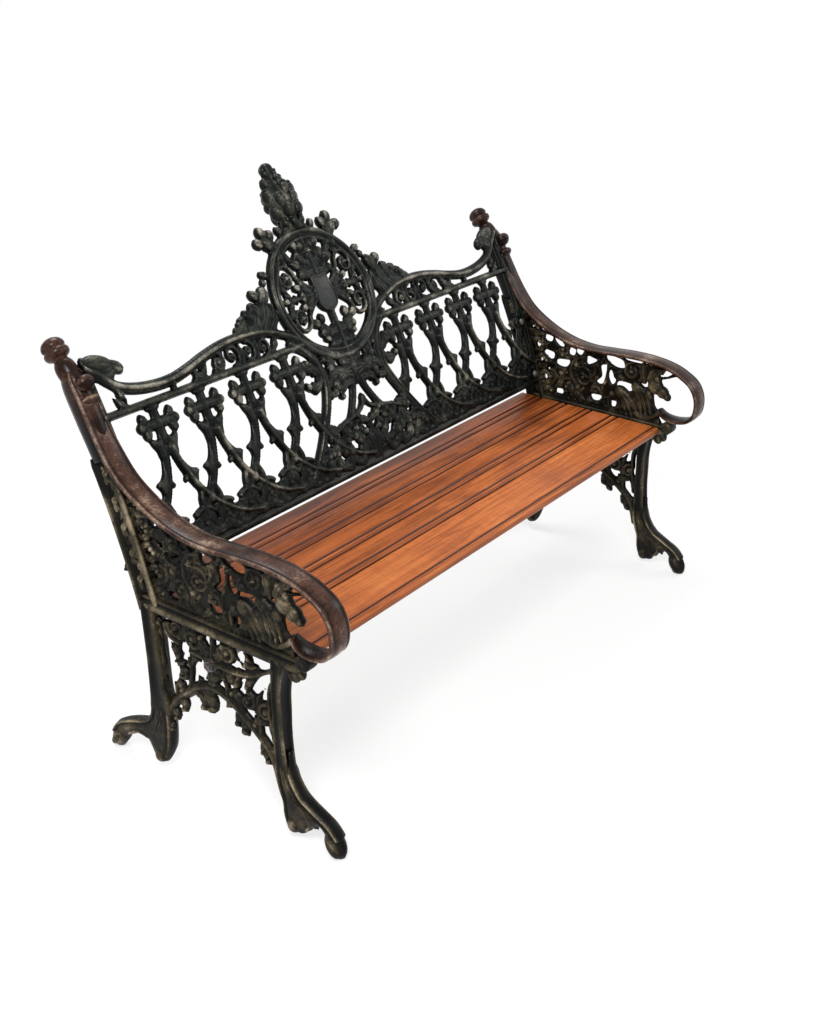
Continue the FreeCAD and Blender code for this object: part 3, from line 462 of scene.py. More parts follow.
def back_depth(z):
    return AXIS_Y - np.sqrt(CURVE ** 2 - (z - AXIS_Z) ** 2)


def on_back(x, z, out):
    sine = (z - AXIS_Z) / CURVE
    cosine = np.sqrt(1 - sine ** 2)
    return np.column_stack([x, back_depth(z) - out * cosine, z + out * sine])


BACK_END = 732
back = PatternBoard(-734, 734, 450, 1004, GRID)
PITCH = 133.25
STEMS = [209 + PITCH * k for k in range(5)]
SWING = 218.0
RIB_LEVEL = 702.0


def swung(x, way, low=486, start=668):
    z = np.linspace(start, low, 22)
    reach = 8 + SWING - np.sqrt(np.maximum(SWING ** 2 - (RIB_LEVEL - z) ** 2, 100))
    return np.column_stack([x + way * reach, z])


def beside(x, way, points):
    return [(x + way * across, z) for across, z in points]


CROSS = 718
HORN = [(6, 700), (18, 691), (30, 695), (38, 691), (36, 681), (29, 668), (24, 652), (6, 648)]
GUSSET = [(20, 654), (31, 634), (44, 620), (57, 615), (60, 609), (55, 601), (50, 590), (44, 584), (28, 606)]


def bay(x):
    # collar under the rail and the cross of three-lobed leaves
    back.rib([(x, 752), (x, 690)], 22, 8, 27, grooves=2.0)
    back.bud((x, 747), 20, 7, 0, 9)
    back.bud((x, CROSS), 14, 15, 0, 11)
    for way in (-1, 1):
        back.rib([(x, CROSS), (x + way * 40, CROSS)], 22, 9, 24)
        for lift in (-1, 1):
            back.bud((x + way * 36, CROSS + lift * 13), 14, 11, 90 - way * lift * 26, 12, slit=1.2)
        back.bud((x + way * 47, CROSS), 10, 11, 0, 12)
        # blunt horns above the waist, and a cusp like a gusset on each outer edge below it
        back.plate(flowing(beside(x, way, HORN), 30), 9, 0, 12)
        back.plate(flowing(beside(x, way, GUSSET), 36), 9, 0, 11)
        # cusps of the four-lobed opening and the stalk that stands in it
        back.bud((x + way * 19, 603), 9, 6.5, way * 50, 8)
        back.rib(flowing(beside(x, way, [(50, 574), (40, 550), (44, 520)]), 12), 12, 9, 18)
        back.rib(flowing(beside(x, way, [(13, 530), (30, 536), (52, 534), (66, 524)]), 12), 13, 9)
        back.leaf((x + way * 40, 496), (x + way * 36, 534), 38, 9, lobes=2)
        back.leaf((x + way * 22, 492), (x + way * 14, 522), 24, 9, lobes=2)
    back.leaf((x, 470), (x, 514), 34, 9, lobes=3)
    for way in (-1, 1):
        back.leaf((x + way * 4, 472), (x + way * 38, 510), 28, 10, bend=-0.25 * way, lobes=2, curl=6)
        back.scroll((x + way * 34, 486), 14, 90, way * 1.1, 9, 8.5, 5)


for side in (-1, 1):
    for x in STEMS[:4]:
        back.rib(swung(side * x, -1), 25, 7.0, 23, grooves=2.2)
    back.rib(swung(side * STEMS[4], -side), 25, 8, 22, grooves=2.2)
# the ground of the foliage along the foot, then the ribs that pass in front
back.rib([(-BACK_END, 482), (BACK_END, 482)], 36, 4.5)
for side in (-1, 1):
    for x in STEMS[:4]:
        back.rib(swung(side * x, 1), 22, 6.5, 20)
        bay(side * x)
    for x in STEMS[:4]:
        back.rib(swung(side * x, 1), 13, 12.5, 12)
        middle = side * (x + PITCH / 2)
        back.bud((middle, 552), 14, 12, 90, 13)
        for way in (-1, 1):
            back.leaf((middle, 476), (middle + way * 28, 520), 24, 9.5, bend=-0.2 * way, lobes=3, curl=5)
            back.leaf((middle, 486), (middle + way * 14, 540), 28, 9, bend=-0.1 * way, lobes=2)
            back.bud((middle + way * 22, 484), 13, 9, way * 40, 10, slit=1.6)
        back.bud((middle, 484), 16, 12, 0, 11, slit=2)
    # middle of the back: broad channelled ribs under the medallion, with leaf sprays
    big = flowing(beside(0, side, [(168, 766), (128, 738), (108, 704), (104, 668), (118, 630), (148, 584),
                                   (186, 536), (230, 490)]), 44)
    back.rib(big, 27, 9.5, 24, grooves=3.0)
    back.rib(big + [[side * 8.5, 3]], 7, 12)
    back.rib(flowing(beside(0, side, [(9, 668), (22, 632), (44, 596), (78, 558),
                      (128, 520), (180, 496)]), 30), 23, 8.5, 20, grooves=2.2)
    back.leaves((
        ((110, 690), (178, 704), 34, 0.2), ((110, 686), (170, 672), 32, -0.2),
        ((128, 694), (150, 722), 26, -0.1), ((100, 660), (50, 672), 30, -0.2),
        ((6, 676), (84, 696), 40, -0.14), ((6, 664), (80, 656), 38, 0.14), ((5, 690), (44, 716), 30, -0.1),
        ((20, 650), (70, 626), 28, 0.2), ((104, 640), (70, 650), 26, 0.1), ((60, 700), (96, 716), 26, 0.1),
        ((104, 476), (92, 542), 36, 0.1), ((104, 476), (144, 524), 32, -0.2),
        ((60, 474), (40, 534), 34, 0.1), ((60, 474), (90, 516), 28, -0.2),
        ((154, 476), (170, 526), 30, -0.1), ((8, 474), (26, 546), 32, 0.1),
        ((120, 570), (152, 556), 30, 0.1), ((100, 566), (62, 536), 34, 0.1),
        ((124, 540), (90, 506), 36, 0.1), ((120, 548), (160, 520), 34, -0.1),
        ((20, 500), (60, 560), 34, -0.1), ((6, 560), (44, 580), 26, -0.1),
        ((180, 520), (206, 500), 28, 0.1), ((150, 600), (132, 556), 28, 0.1)), 12, 2, 8, side, 1.05)
    ogee = flowing(beside(0, side, [(0, 607), (20, 588), (56, 578), (96, 570), (150, 550)]), 24)
    back.rib(ogee, 14, 10, 11)
    back.bud((side * 70, 566), 14, 11, 0, 10)
    back.scroll((side * 38, 546), 21, 90, -side * 1.1, 11, 8.5, 7)
back.bud((0, 676), 18, 24, 0, 13, slit=2)
back.bud((0, 606), 10, 15, 0, 11)
back.rib([(0, 712), (0, 650)], 30, 10, 22, grooves=2.5)
back.leaf((0, 472), (0, 560), 36, 10, lobes=4)

# bottom and straight rails, flat mouldings with a raised edge, and bosses for the bolts
BOTTOM_RAIL = 465.5
TOP_RAIL = 758
BOLT_LEVELS = (484, 622)
back.rib([(-BACK_END, BOTTOM_RAIL), (BACK_END, BOTTOM_RAIL)], 20, 9, grooves=1.6)
for side in (-1, 1):
    back.rib([(side * 138, TOP_RAIL), (side * BACK_END, TOP_RAIL)], 16, 11.5)
    for z in BOLT_LEVELS:
        back.bud((side * 713, z), 18, 18, 0, 9)
    back.rib([(side * 726, 462), (side * 726, 862)], 14, 8)

# serpentine cresting over the rail, thick with rolled leaves towards the medallion
SERPENTINE = [(736, 852), (708, 832), (673, 804), (632, 790), (580, 783), (529, 783), (478, 791),
              (432, 801), (375, 810), (320, 813), (265, 811), (222, 803), (170, 785), (119, 757), (68, 727),
              (30, 712), (0, 705)]
for side in (-1, 1):
    s_line = flowing(beside(0, side, SERPENTINE), 80)
    back.rib(s_line, 24, 11.5, 20, grooves=2.0)
    back.leaves((
        ((676, 806), (664, 774), 22, 0.1), ((664, 762), (690, 784), 20, -0.1),
        ((536, 762), (534, 786), 20, 0.0), ((480, 762), (428, 798), 24, 0.12),
        ((440, 762), (476, 788), 22, -0.12), ((316, 816), (282, 846), 36, 0.14),
        ((282, 812), (236, 862), 50, 0.16), ((246, 808), (198, 882), 58, 0.12),
        ((212, 806), (182, 852), 44, 0.10), ((724, 846), (652, 838), 46, 0.16)), 12, 2, side=side)
    back.buds((
        (694, 850, 36, 17, 14, 16), (656, 836, 20, 13, 30, 14), (196, 872, 23, 16, 125, 17),
        (222, 878, 15, 12, 40, 15), (236, 850, 21, 14, 50, 15), (204, 840, 22, 13, 100, 13),
        (262, 846, 17, 12, 35, 14), (286, 838, 13, 9, 30, 12)), 2.2, side)
    back.rib(s_line[:58], 12, 15)
    for x, z, radius, start in ((398, 782, 19, 90), (352, 786, 22, -90), (302, 782, 21, 90),
                                (256, 782, 19, -90)):
        back.scroll((side * x, z), radius, start, side * (1.2 if start > 0 else -1.2), 12, 9, 7)
    back.leaves((((420, 762), (374, 804), 22, 0.1), ((328, 762), (326, 806), 22, 0.1),
                 ((280, 762), (276, 806), 22, 0.1), ((236, 764), (206, 798), 24, 0.1)), 9, 2, side=side)

# oval medallion: moulded ring, plain shield, crown of leaves and flowered scrolls
RING_Z = 840.0
turn = np.linspace(0, 2 * np.pi, 97)
for reach, width, top in ((0, 30, 6), (7, 17, 12.5), (-8, 9, 10.5)):
    back.rib(np.column_stack([(157 + reach) * np.cos(turn), RING_Z + (126 + reach) * np.sin(turn)]), width,
             top)
for side in (-1, 1):
    back.rib([(side * 36, 846), (side * 146, 846)], 10, 8)
    for z, way in ((890, 1), (806, -1)):
        back.scroll((side * 104, z), 29, 180 if side > 0 else 0, -side * way * 1.25, 12, 10, 0)
        back.flower((side * 104, z), 15, 5, 12)
        back.rib(flowing([(side * 34, 846 + way * 12), (side * 58, 846 + way * 27), (side * 76, z)], 12),
                 12, 9)
        back.leaf((side * 118, 846 + way * 8), (side * 146, 846 + way * 36), 24, 9.5, 0.15 * side * way, 2)
    for root, tip, width, bend in (
            ((4, 762), (72, 790), 38, -0.15), ((4, 740), (52, 752), 28, -0.2),
            ((6, 890), (60, 912), 40, -0.2), ((6, 906), (40, 950), 36, -0.2),
            ((60, 914), (98, 934), 30, 0.2), ((40, 848), (88, 868), 30, 0.1),
            ((40, 844), (88, 824), 30, -0.1), ((90, 846), (136, 846), 26, 0.0)):
        back.tuft((side * root[0], root[1]), (side * tip[0], tip[1]), width, 13, bend * side)
    # one crocket of rolled leaves on each shoulder of the ring, a small one below it
    back.leaf((side * 92, 936), (side * 116, 984), 46, 12, 0.0, 2)
    back.buds((
        (92, 978, 14, 11, 110, 15), (116, 986, 15, 12, 70, 17), (138, 968, 14, 12, 20, 15),
        (114, 964, 17, 13, 50, 18), (98, 958, 13, 10, 150, 14), (166, 910, 14, 9, 20, 13),
        (176, 896, 9, 8, 60, 11), (58, 982, 12, 9, 60, 12)), 2.0, side)
back.rib([(0, 704), (0, 806)], 20, 10, 24, grooves=2)
back.rib([(0, 884), (0, 962)], 24, 10, 18, grooves=2)
back.flower((0, 930), 24, 6, 13)
back.plate(flowing([(-29, 882), (-14, 885), (0, 882), (14, 885), (29, 882), (32, 858), (37, 832), (28, 810),
                    (0, 800), (-28, 810), (-37, 832), (-32, 858), (-29, 882)], 72)[:-1], 9, 3, 9)
back.rib([(-30, 976), (30, 976)], 26, 12)

# the one casting is meshed in three lengths
PART_LINE = 240
REAR_RELIEF = 6.0
for name, low, high in (("back_left_bays", -800, -PART_LINE), ("back_middle", -PART_LINE, PART_LINE),
                        ("back_right_bays", PART_LINE, 800)):
    piece = make_piece(name, *back.cast(on_back, REAR_RELIEF, low, high), green_iron)
    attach(piece, "root")
    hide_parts("back_panel")

# Crest finial: a leafy bud, cast on its own and pinned to the top of the ring.
# It leans with the back and has six tiers of lobed leaves.


def lofted(rings, marks):
    rings = np.asarray(rings, float)
    n, m = rings.shape[:2]
    k, i = np.meshgrid(np.arange(n - 1), np.arange(m), indexing="ij")
    j = (i + 1) % m
    faces = np.stack([k * m + i, k * m + j, (k + 1) * m + j, (k + 1) * m + i], -1).reshape(-1, 4).tolist()
    faces += [list(range(m))[::-1], list(range((n - 1) * m, n * m))]
    return rings.reshape(-1, 3), faces, np.broadcast_to(marks, (n, m)).ravel()


def turned(foot, axis, profile, lobes=0, depth=0.0, twist=0.0, sides=48, steps=40):
    axis = np.asarray(axis, float) / np.linalg.norm(axis)
    across = np.array([1.0, 0, 0]) if abs(axis[0]) < 0.9 else np.array([0, 1.0, 0])
    across = across - axis * (across @ axis)
    across /= np.linalg.norm(across)
    third = np.cross(axis, across)
    line = flowing(profile, steps)
    turns = np.linspace(0, 2 * np.pi, sides, endpoint=False)
    rings = []
    marks = []
    for radius, height in line:
        wave = np.cos(lobes * turns + twist * height) if lobes else np.zeros(sides)
        r = max(radius, 0.4) * (1 + depth * wave)
        ring = np.asarray(foot) + np.outer(r * np.cos(turns), across)
        rings.append(ring + np.outer(r * np.sin(turns), third) + axis * height)
        # lobe crests lighter and furrows darker: partly wear, partly painted highlight and painted shade
        marks.append(0.52 + 0.12 * wave)
    return lofted(rings, np.array(marks))


def lump(centre, axis, length, radius, lobes=0, depth=0.0):
    a = np.linspace(0, np.pi, 13)
    profile = np.column_stack([radius * np.sin(a), -length * np.cos(a)])
    return turned(centre, axis, profile, lobes, depth, sides=24, steps=20)


FINIAL_LEVEL = 987.0
LEAN_TOP = math.asin((FINIAL_LEVEL - AXIS_Z) / CURVE)
finial_foot = np.array([0, float(back_depth(FINIAL_LEVEL)) - 3, FINIAL_LEVEL])
up_back = np.array([0, math.sin(LEAN_TOP), math.cos(LEAN_TOP)])
out_back = np.array([0, -math.cos(LEAN_TOP), math.sin(LEAN_TOP)])
BUD_PROFILE = [(24, -14), (27, 2), (24, 14), (28, 28), (34, 42), (37, 60), (37, 78), (32, 96), (24, 110),
               (18, 122), (16, 134), (17, 144), (13, 153), (5, 158), (0.5, 159)]
# each tier's height, reach, number of leaves, and a leaf's half length and radius
TIERS = [(8, 21, 6, 14, 12), (36, 25, 5, 22, 17), (58, 28, 5, 17, 16), (80, 26, 5, 21, 17),
         (104, 20, 4, 18, 14), (128, 11, 3, 14, 10)]
parts = [turned(finial_foot, up_back, BUD_PROFILE, 7, 0.06, 0.02)]
draw = np.random.default_rng(3)
for tier, (height, reach, count, length, thick) in enumerate(TIERS):
    for k in range(count):
        a = 2 * math.pi * (k + 0.5 * (tier % 2) + draw.uniform(-0.15, 0.15)) / count
        spoke = math.cos(a) * np.array([1.0, 0, 0]) + math.sin(a) * out_back
        centre = finial_foot + up_back * (height + draw.uniform(-4, 4)) + spoke * reach
        parts.append(lump(centre, up_back + spoke * 0.5, length * draw.uniform(0.85, 1.1), thick, 3, 0.14))
        tip = centre + up_back * length * 0.7 + spoke * 6
        parts.append(lump(tip, np.cross(up_back, spoke), thick * 0.8, thick * 0.5))
finial = make_piece("crest_finial_leaves", *merged(parts), green_iron)
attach(finial, "root")
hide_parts("crest_finial")

# End castings, a left and a right, each poured in one piece of iron: two scrolled
# legs, a pierced apron, the seat rail, a pierced arm panel under a broad handrail,
# and the back stile. The back, the boards and the tie rod are fixed to them.
HALF = 750.0
ARM_LINE = [
    (690, 858), (676, 838), (655, 805), (634, 769), (611, 731), (586, 696), (554, 663), (512, 636),
    (465, 614), (410, 598), (352, 592), (296, 595), (240, 599), (175, 599), (115, 590), (71, 572),
    (45, 552), (30, 520), (31, 482), (50, 458), (86, 448), (118, 452), (138, 466)]
# sections give across, height and wear; a leg's give place, shift, across and wear. The wear is
# partly worn paint, partly painted highlight on raised edges and painted shade in channels and underneath
ARM_SECTION = [(0, 5.5, .63), (7, 5.3, .62), (13, 4.4, .57), (16, 3.6, .42), (17.5, 3.9, .48),
               (20, 4.3, .66), (22.2, 3.0, .7), (23, 0.4, .64), (22.4, -3.4, .54), (19.5, -5.2, .42),
               (12, -5.6, .34), (7, -7.5, .3)]
STILE_SECTION = [
    (0, 8.4, .45), (9, 8.6, .48), (13.5, 10, .74), (17, 9.4, .78), (18, 6.5, .7), (18, 0.5, .6),
    (16.5, -2, .46), (11.5, -5, .34), (8, -10, .3), (8, -27, .3), (11.5, -32, .34), (16, -35, .48),
    (18, -38, .66), (18, -43, .72), (14, -46, .72), (6, -46, .6)]
STILE_HEAD = [(0, 12, .48), (9, 11, .5), (16, 7.5, .54), (19.5, 1, .5), (20.5, -12, .42), (19.5, -27, .42),
              (16, -38, .5), (8, -43.5, .5)]
LEG_SECTION = [
    (0, 5.5, 0, .24), (0, 5.2, .34, .26), (0, 3.2, .55, .4), (0, 0.4, .68, .76), (0, 0.3, .84, .8),
    (0, 2.0, .96, .76), (0, 5.5, 1.0, .7), (0, 8.5, .95, .56), (.36, 0, .80, .38), (.64, 0, .80, .38),
    (1, -8.0, .90, .5), (1, -5.0, .95, .68), (1, -1.6, .86, .74), (1, 0, .62, .66), (1, 0, .3, .56)]
LEG_HALF = 23
LEG_WEAR_AND_HIGHLIGHT = 0.77
FRONT_LEG = [
    ((146, 404), (181, 404)), ((155, 366), (182, 366)), ((160, 325), (183, 325)), ((158, 280), (182, 280)),
    ((156, 240), (182, 240)), ((151, 195), (181, 195)), ((145, 158), (178, 150)), ((138, 134), (171, 112)),
    ((127, 115), (152, 82)), ((112, 101), (128, 66)), ((95, 92), (106, 62)), ((74, 84.5), (84, 62)),
    ((54, 76), (68, 58))]
REAR_LEG = [
    ((526, 410), (494, 410)), ((524, 375), (492, 375)), ((522, 340), (490, 340)), ((520, 277), (484, 277)),
    ((520, 215), (477, 215)), ((521, 174), (468, 165)), ((527, 138), (482, 106)), ((541, 116), (515, 72)),
    ((564, 104), (545, 62)), ((592, 94), (571, 60)), ((614, 82), (594, 56))]
FRONT_FOOT = [
    (148, 196), (145, 160), (136, 132), (120, 110), (95, 93), (70, 84), (48, 74), (28, 58), (14, 38),
    (11, 20), (16, 6), (26, 1), (38, 1), (47, 8), (51, 22), (56, 38), (64, 50), (73, 56), (79, 50),
    (82, 42), (88, 47), (95, 44), (99, 35), (106, 30), (112, 20), (122, 17), (140, 17), (152, 25),
    (158, 40), (161, 64), (163, 86), (170, 108), (177, 140), (181, 196)]
REAR_FOOT = [
    (519, 200), (519, 176), (521, 150), (527, 128), (541, 112), (564, 101), (592, 92), (618, 80),
    (638, 64), (650, 47), (657, 30), (658, 14), (653, 3), (643, 1), (632, 2), (624, 10), (617, 24),
    (606, 37), (598, 48), (588, 52), (578, 61), (566, 66), (552, 66), (542, 60), (535, 49), (528, 36),
    (521, 24), (507, 20), (494, 22), (485, 31), (477, 45), (471, 64), (468, 90), (467, 126), (469, 150),
    (472, 175), (475, 200)]


def both_sides(section):
    other = [(-p[0],) + tuple(p[1:]) for p in section[::-1] if p[0] > 0]
    return np.array(list(section) + other)


def handrail(side):
    line = flowing([(y, z - 5.5) for y, z in ARM_LINE], 150)
    along = np.gradient(line, axis=0)
    along /= np.hypot(*along.T)[:, None]
    shape = both_sides(ARM_SECTION)
    share = np.linspace(0, 1, len(line))
    spread = np.interp(share, [0, .03, .10, .22, .84, .92, .97, 1], [.6, .92, 1, 1.2, 1.2, 1, .74, .5])
    rings = [np.column_stack([side * HALF + shape[:, 0] * w, p[0] + t[1] * shape[:, 1],
                              p[1] - t[0] * shape[:, 1]]) for p, t, w in zip(line, along, spread)]
    return lofted(rings, shape[:, 2])


def leg(side, stations, round_from):
    near = flowing([s[0] for s in stations], 8 * len(stations))
    far = flowing([s[1] for s in stations], 8 * len(stations))
    deep = np.hypot(*(far - near).T)
    unit = (far - near) / deep[:, None]
    shape = np.array(LEG_SECTION + [(f, d, -a, m) for f, d, a, m in LEG_SECTION[:0:-1]])
    turns = np.linspace(0, 2 * np.pi, len(shape), endpoint=False)
    level = (near[:, 1] + far[:, 1]) / 2
    wide = LEG_HALF * np.interp(level, [60, 105, 155, 220, 340, 412], [.34, .42, .66, .72, .92, 1])
    soft = np.clip((np.linspace(0, 1, len(near)) - round_from) / 0.22, 0, 0.92)
    rings = []
    for p, e, t, w, r in zip(near, unit, deep, wide, soft):
        s = (shape[:, 0] * t + shape[:, 1] * min(1, t / 30)) * (1 - r) + (0.5 - 0.5 * np.cos(turns)) * t * r
        a = shape[:, 2] * (1 - r) + np.sin(turns) * 1.08 * r
        rings.append(np.column_stack([side * HALF + a * w, p[0] + e[0] * s, p[1] + e[1] * s]))
    return lofted(rings, shape[:, 3] * LEG_WEAR_AND_HIGHLIGHT)


def feet():
    board = PatternBoard(4, 666, -2, 204, GRID)
    for around in (FRONT_FOOT, REAR_FOOT):
        board.plate(flowing(around, 6 * len(around)), 15, 0, 22)
    # toe and heel swell into paws
    board.buds(((37, 31, 30, 19, 55, 21), (136, 36, 22, 17, 90, 21), (632, 31, 30, 19, 125, 21),
                (504, 40, 21, 16, 90, 21)))
    for line in (
            [(149, 196), (144, 156), (134, 130), (112, 104), (76, 85), (46, 70), (26, 50)],
            [(177, 196), (174, 140), (166, 108), (157, 84), (154, 56), (148, 36)],
            [(100, 40), (92, 62), (112, 84), (140, 100), (160, 140)],
            [(516, 196), (518, 150), (526, 124), (546, 106), (590, 89), (630, 67), (647, 42)],
            [(479, 196), (474, 150), (473, 110), (476, 70), (486, 44)],
            [(596, 56), (566, 74), (534, 72), (514, 94), (502, 140)]):
        board.rib(flowing(line, 36), 11, 16, 9)
    board.leaf((165, 178), (124, 92), 30, 18, 0.1, 3)
    board.leaf((490, 180), (524, 84), 32, 18, -0.1, 3)
    board.edge = np.where(board.V < 0.5, 2.0, board.edge)
    board.height *= np.clip((202 - board.V) / 50, 0.45, 1)
    return board


def stile(side, section, low, high):
    shape = both_sides(section)
    core = -16
    rings = []
    levels = np.linspace(low, high, 24)
    for z in levels:
        full = np.interp(z, [690, 700, 760, 812, 828, 842, 852, 860],
                         [1, 0.92, 1, 1, 0.97, 0.88, 0.72, 0.45])
        rings.append(on_back(side * HALF + shape[:, 0] * full, np.full(len(shape), z),
                             core + (shape[:, 1] - core) * full))
    # both finishes are black with grime where they meet
    darkening = np.interp(levels, [630, 694, 770], [1, 0.3, 1])
    return lofted(rings, np.outer(darkening, shape[:, 2] - 0.25 * (shape[:, 0] * side < -9)))


def seat_rail(side):
    outer = [(13.5, 390), (16.5, 392.5), (18.5, 397), (19, 402), (18.2, 407), (15.5, 410.5), (13, 411.5),
             (12.6, 413.5), (14.4, 415), (14.8, 419), (13, 422)]
    shape = outer + [(-across, z) for across, z in outer[::-1]]
    # each point's wear: partly worn paint, partly painted highlight on the rounds and painted shade in the
    # quirks
    marks = [.36, .5, .62, .68, .62, .44, .3, .3, .46, .58, .5]
    core = 405
    rings = []
    for y in np.concatenate([np.linspace(110, 140, 8), np.linspace(150, 526, 26)]):
        full = np.interp(y, [110, 114, 122, 138], [0.30, 0.62, 0.88, 1])
        rings.append([(side * HALF + a * full, y, core + (z - core) * full) for a, z in shape])
    return lofted(rings, np.array(marks + marks[::-1]))


def block(x0, y0, z0, x1, y1, z1, ease=1.5):
    rings = []
    for z, e in ((z0, ease), (z0 + ease, 0), (z1 - ease, 0), (z1, ease)):
        rings.append([(x0 + e, y0 + ease, z), (x0 + ease, y0 + e, z), (x1 - ease, y0 + e, z),
                      (x1 - e, y0 + ease, z), (x1 - e, y1 - ease, z), (x1 - ease, y1 - e, z),
                      (x0 + ease, y1 - e, z), (x0 + e, y1 - ease, z)])
    return lofted(rings, np.full(8, 0.45))


# Arm panel of each end: scrolls, leaves and flowers in the round, with openings
# between them, and a crouching beast at the front. It is cast with its end.
arm = PatternBoard(60, 706, 410, 832, GRID)
stile_side = [(float(back_depth(z)) + 12, z) for z in (412.0, 460.0, 520.0, 580.0, 640.0, 700.0, 750.0)]
arm.plate([(130, 412)] + stile_side + [
    (650, 748), (606, 698), (565, 660), (516, 628), (465, 604), (410, 588), (352, 583), (296, 586),
    (240, 590), (175, 590), (115, 581), (84, 568), (116, 554), (150, 540), (160, 500), (152, 470),
    (138, 452)], 4.0, 0)
ARM_OPENINGS = (
    [(214, 508), (262, 508), (260, 476), (242, 464), (226, 486)],
    [(306, 546), (320, 540), (316, 516), (328, 500), (312, 500)],
    [(254, 556), (264, 572), (302, 574), (294, 560), (272, 552)],
    [(160, 538), (180, 546), (186, 530), (198, 518), (178, 518)],
    [(338, 556), (362, 560), (362, 542), (350, 545)], [(276, 514), (290, 535), (294, 520), (284, 502)],
    [(379, 578), (392, 584), (398, 568), (386, 562)], [(404, 570), (418, 572), (420, 558), (408, 556)],
    [(442, 578), (462, 602), (467, 588), (452, 574)], [(490, 612), (508, 626), (516, 612), (500, 606)],
    [(528, 622), (548, 630), (562, 618), (542, 610)], [(472, 548), (496, 550), (498, 534), (474, 532)],
    [(506, 532), (528, 532), (528, 519), (508, 518)],
    [(484, 500), (512, 486), (528, 464), (520, 448), (494, 462)],
    [(422, 536), (452, 532), (454, 520), (430, 518)], [(316, 458), (340, 456), (336, 444), (320, 446)],
    [(434, 448), (450, 446), (448, 428), (436, 430)], [(479, 592), (496, 594), (497, 582), (482, 580)],
    [(504, 570), (522, 570), (520, 554), (508, 554)], [(114, 574), (148, 578), (150, 556), (126, 558)],
    [(562, 652), (578, 650), (572, 634), (560, 638)], [(586, 668), (600, 668), (596, 650), (586, 652)],
    [(612, 694), (626, 692), (618, 676), (608, 680)], [(632, 722), (644, 720), (636, 704), (628, 708)],
    [(191, 584), (246, 584), (240, 577), (200, 577)], [(270, 452), (292, 450), (290, 436), (272, 438)])
for centre, radius, start, turns, width, eye in (
        ((226, 550), 33, 220, -1.2, 15, 0), ((364, 520), 54, -70, 0.95, 16, 0),
        ((372, 500), 30, 60, 1.1, 12, 8), ((504, 576), 30, 250, 1.2, 12, 9),
        ((572, 632), 20, 240, -1.2, 10, 7), ((330, 462), 20, 90, 1.1, 11, 7),
        ((420, 462), 22, 90, -1.1, 11, 8), ((470, 480), 22, 30, 1.1, 11, 8),
        ((536, 500), 20, 30, 1.1, 11, 8), ((440, 566), 20, 90, 1.1, 10, 7),
        ((300, 556), 18, 0, 1.1, 10, 7), ((556, 572), 18, 0, 1.1, 10, 7), ((612, 684), 14, 0, 1.1, 8, 5)):
    arm.scroll(centre, radius, start, turns, width, 9.5, eye)
arm.flower((226, 550), 19, 6, 12)
arm.flower((392, 532), 22, 5, 13)
arm.flower((504, 576), 15, 5, 12)
for line, width in (
        ([(262, 540), (296, 524), (310, 482), (304, 436)], 14), ([(250, 574), (300, 578), (348, 588)], 12),
        ([(312, 530), (318, 560), (306, 590)], 12), ([(418, 540), (444, 562), (452, 602)], 14),
        ([(414, 486), (455, 484), (500, 506), (566, 532)], 14),
        ([(470, 552), (456, 520), (462, 470), (480, 432)], 13), ([(538, 575), (560, 612), (584, 676)], 12),
        ([(600, 660), (622, 692), (650, 730), (668, 776)], 11), ([(274, 506), (300, 540), (331, 560)], 12),
        ([(520, 500), (545, 520), (560, 545)], 11)):
    arm.rib(flowing(line, 20), width, 9, width * 0.8, grooves=1.8)
arm.leaves((
    ((306, 432), (276, 478), 34, .2), ((306, 434), (340, 484), 36, -.2), ((359, 428), (336, 474), 32, .2),
    ((359, 428), (388, 474), 34, -.2), ((460, 428), (436, 506), 36, .1), ((462, 466), (500, 496), 34, -.2),
    ((520, 430), (496, 480), 32, .2), ((524, 436), (556, 490), 34, -.2), ((400, 426), (414, 480), 30, .1),
    ((379, 550), (348, 584), 30, .2), ((396, 550), (424, 590), 32, -.2), ((470, 532), (436, 552), 28, .2),
    ((430, 496), (460, 526), 30, .2), ((334, 508), (300, 500), 30, .2), ((330, 534), (352, 562), 26, .2),
    ((258, 556), (288, 590), 30, .2), ((204, 556), (170, 588), 32, -.2), ((246, 506), (282, 524), 30, .2),
    ((504, 604), (474, 614), 26, .2), ((530, 590), (560, 598), 28, .2), ((540, 536), (566, 508), 30, .2),
    ((556, 600), (586, 610), 26, .2), ((592, 664), (620, 670), 24, .2), ((606, 690), (632, 704), 22, -.2),
    ((628, 716), (652, 760), 24, .2), ((560, 640), (546, 614), 24, .2), ((480, 436), (506, 458), 28, .2),
    ((288, 426), (256, 442), 28, .2), ((344, 592), (310, 576), 26, .2), ((452, 602), (428, 584), 26, -.2)),
    11, 3, 6)
arm.foliage((280, 420), (600, 640), 150, 5, 24, 8.5)
for opening in ARM_OPENINGS:
    arm.pierce(opening, 1.15)
# a crouching garden beast fills the front: haunch, shoulder, neck, head and mane
arm.bud((214, 464), 46, 32, 150, 11)
for root, tip, width, top in (
        ((176, 536), (150, 574), 30, 12), ((164, 546), (128, 578), 26, 12),
        ((190, 528), (196, 584), 28, 11), ((198, 512), (160, 444), 22, 13),
        ((204, 508), (172, 434), 20, 14), ((212, 504), (186, 430), 20, 14),
        ((252, 492), (196, 432), 24, 14), ((258, 486), (212, 424), 22, 15),
        ((262, 478), (228, 422), 22, 15), ((264, 468), (246, 424), 20, 14)):
    arm.leaf(root, tip, width, top, -0.08, 2)
arm.buds(((208, 506, 20, 16, 40, 14), (254, 482, 22, 18, 45, 15), (156, 522, 24, 22, 30, 14),
          (134, 510, 19, 17, 35, 13.5), (120, 500, 12, 10, 45, 12), (150, 544, 14, 8, 60, 13),
          (172, 494, 18, 13, 70, 13)), 1.4)
arm.rib(flowing([(206, 436), (176, 428), (150, 440), (134, 458)], 14), 22, 11, 16)
arm.rib(flowing([(268, 470), (288, 462), (286, 436)], 10), 16, 10, 12)
arm.rib([(140, 424), (522, 424)], 24, 8)
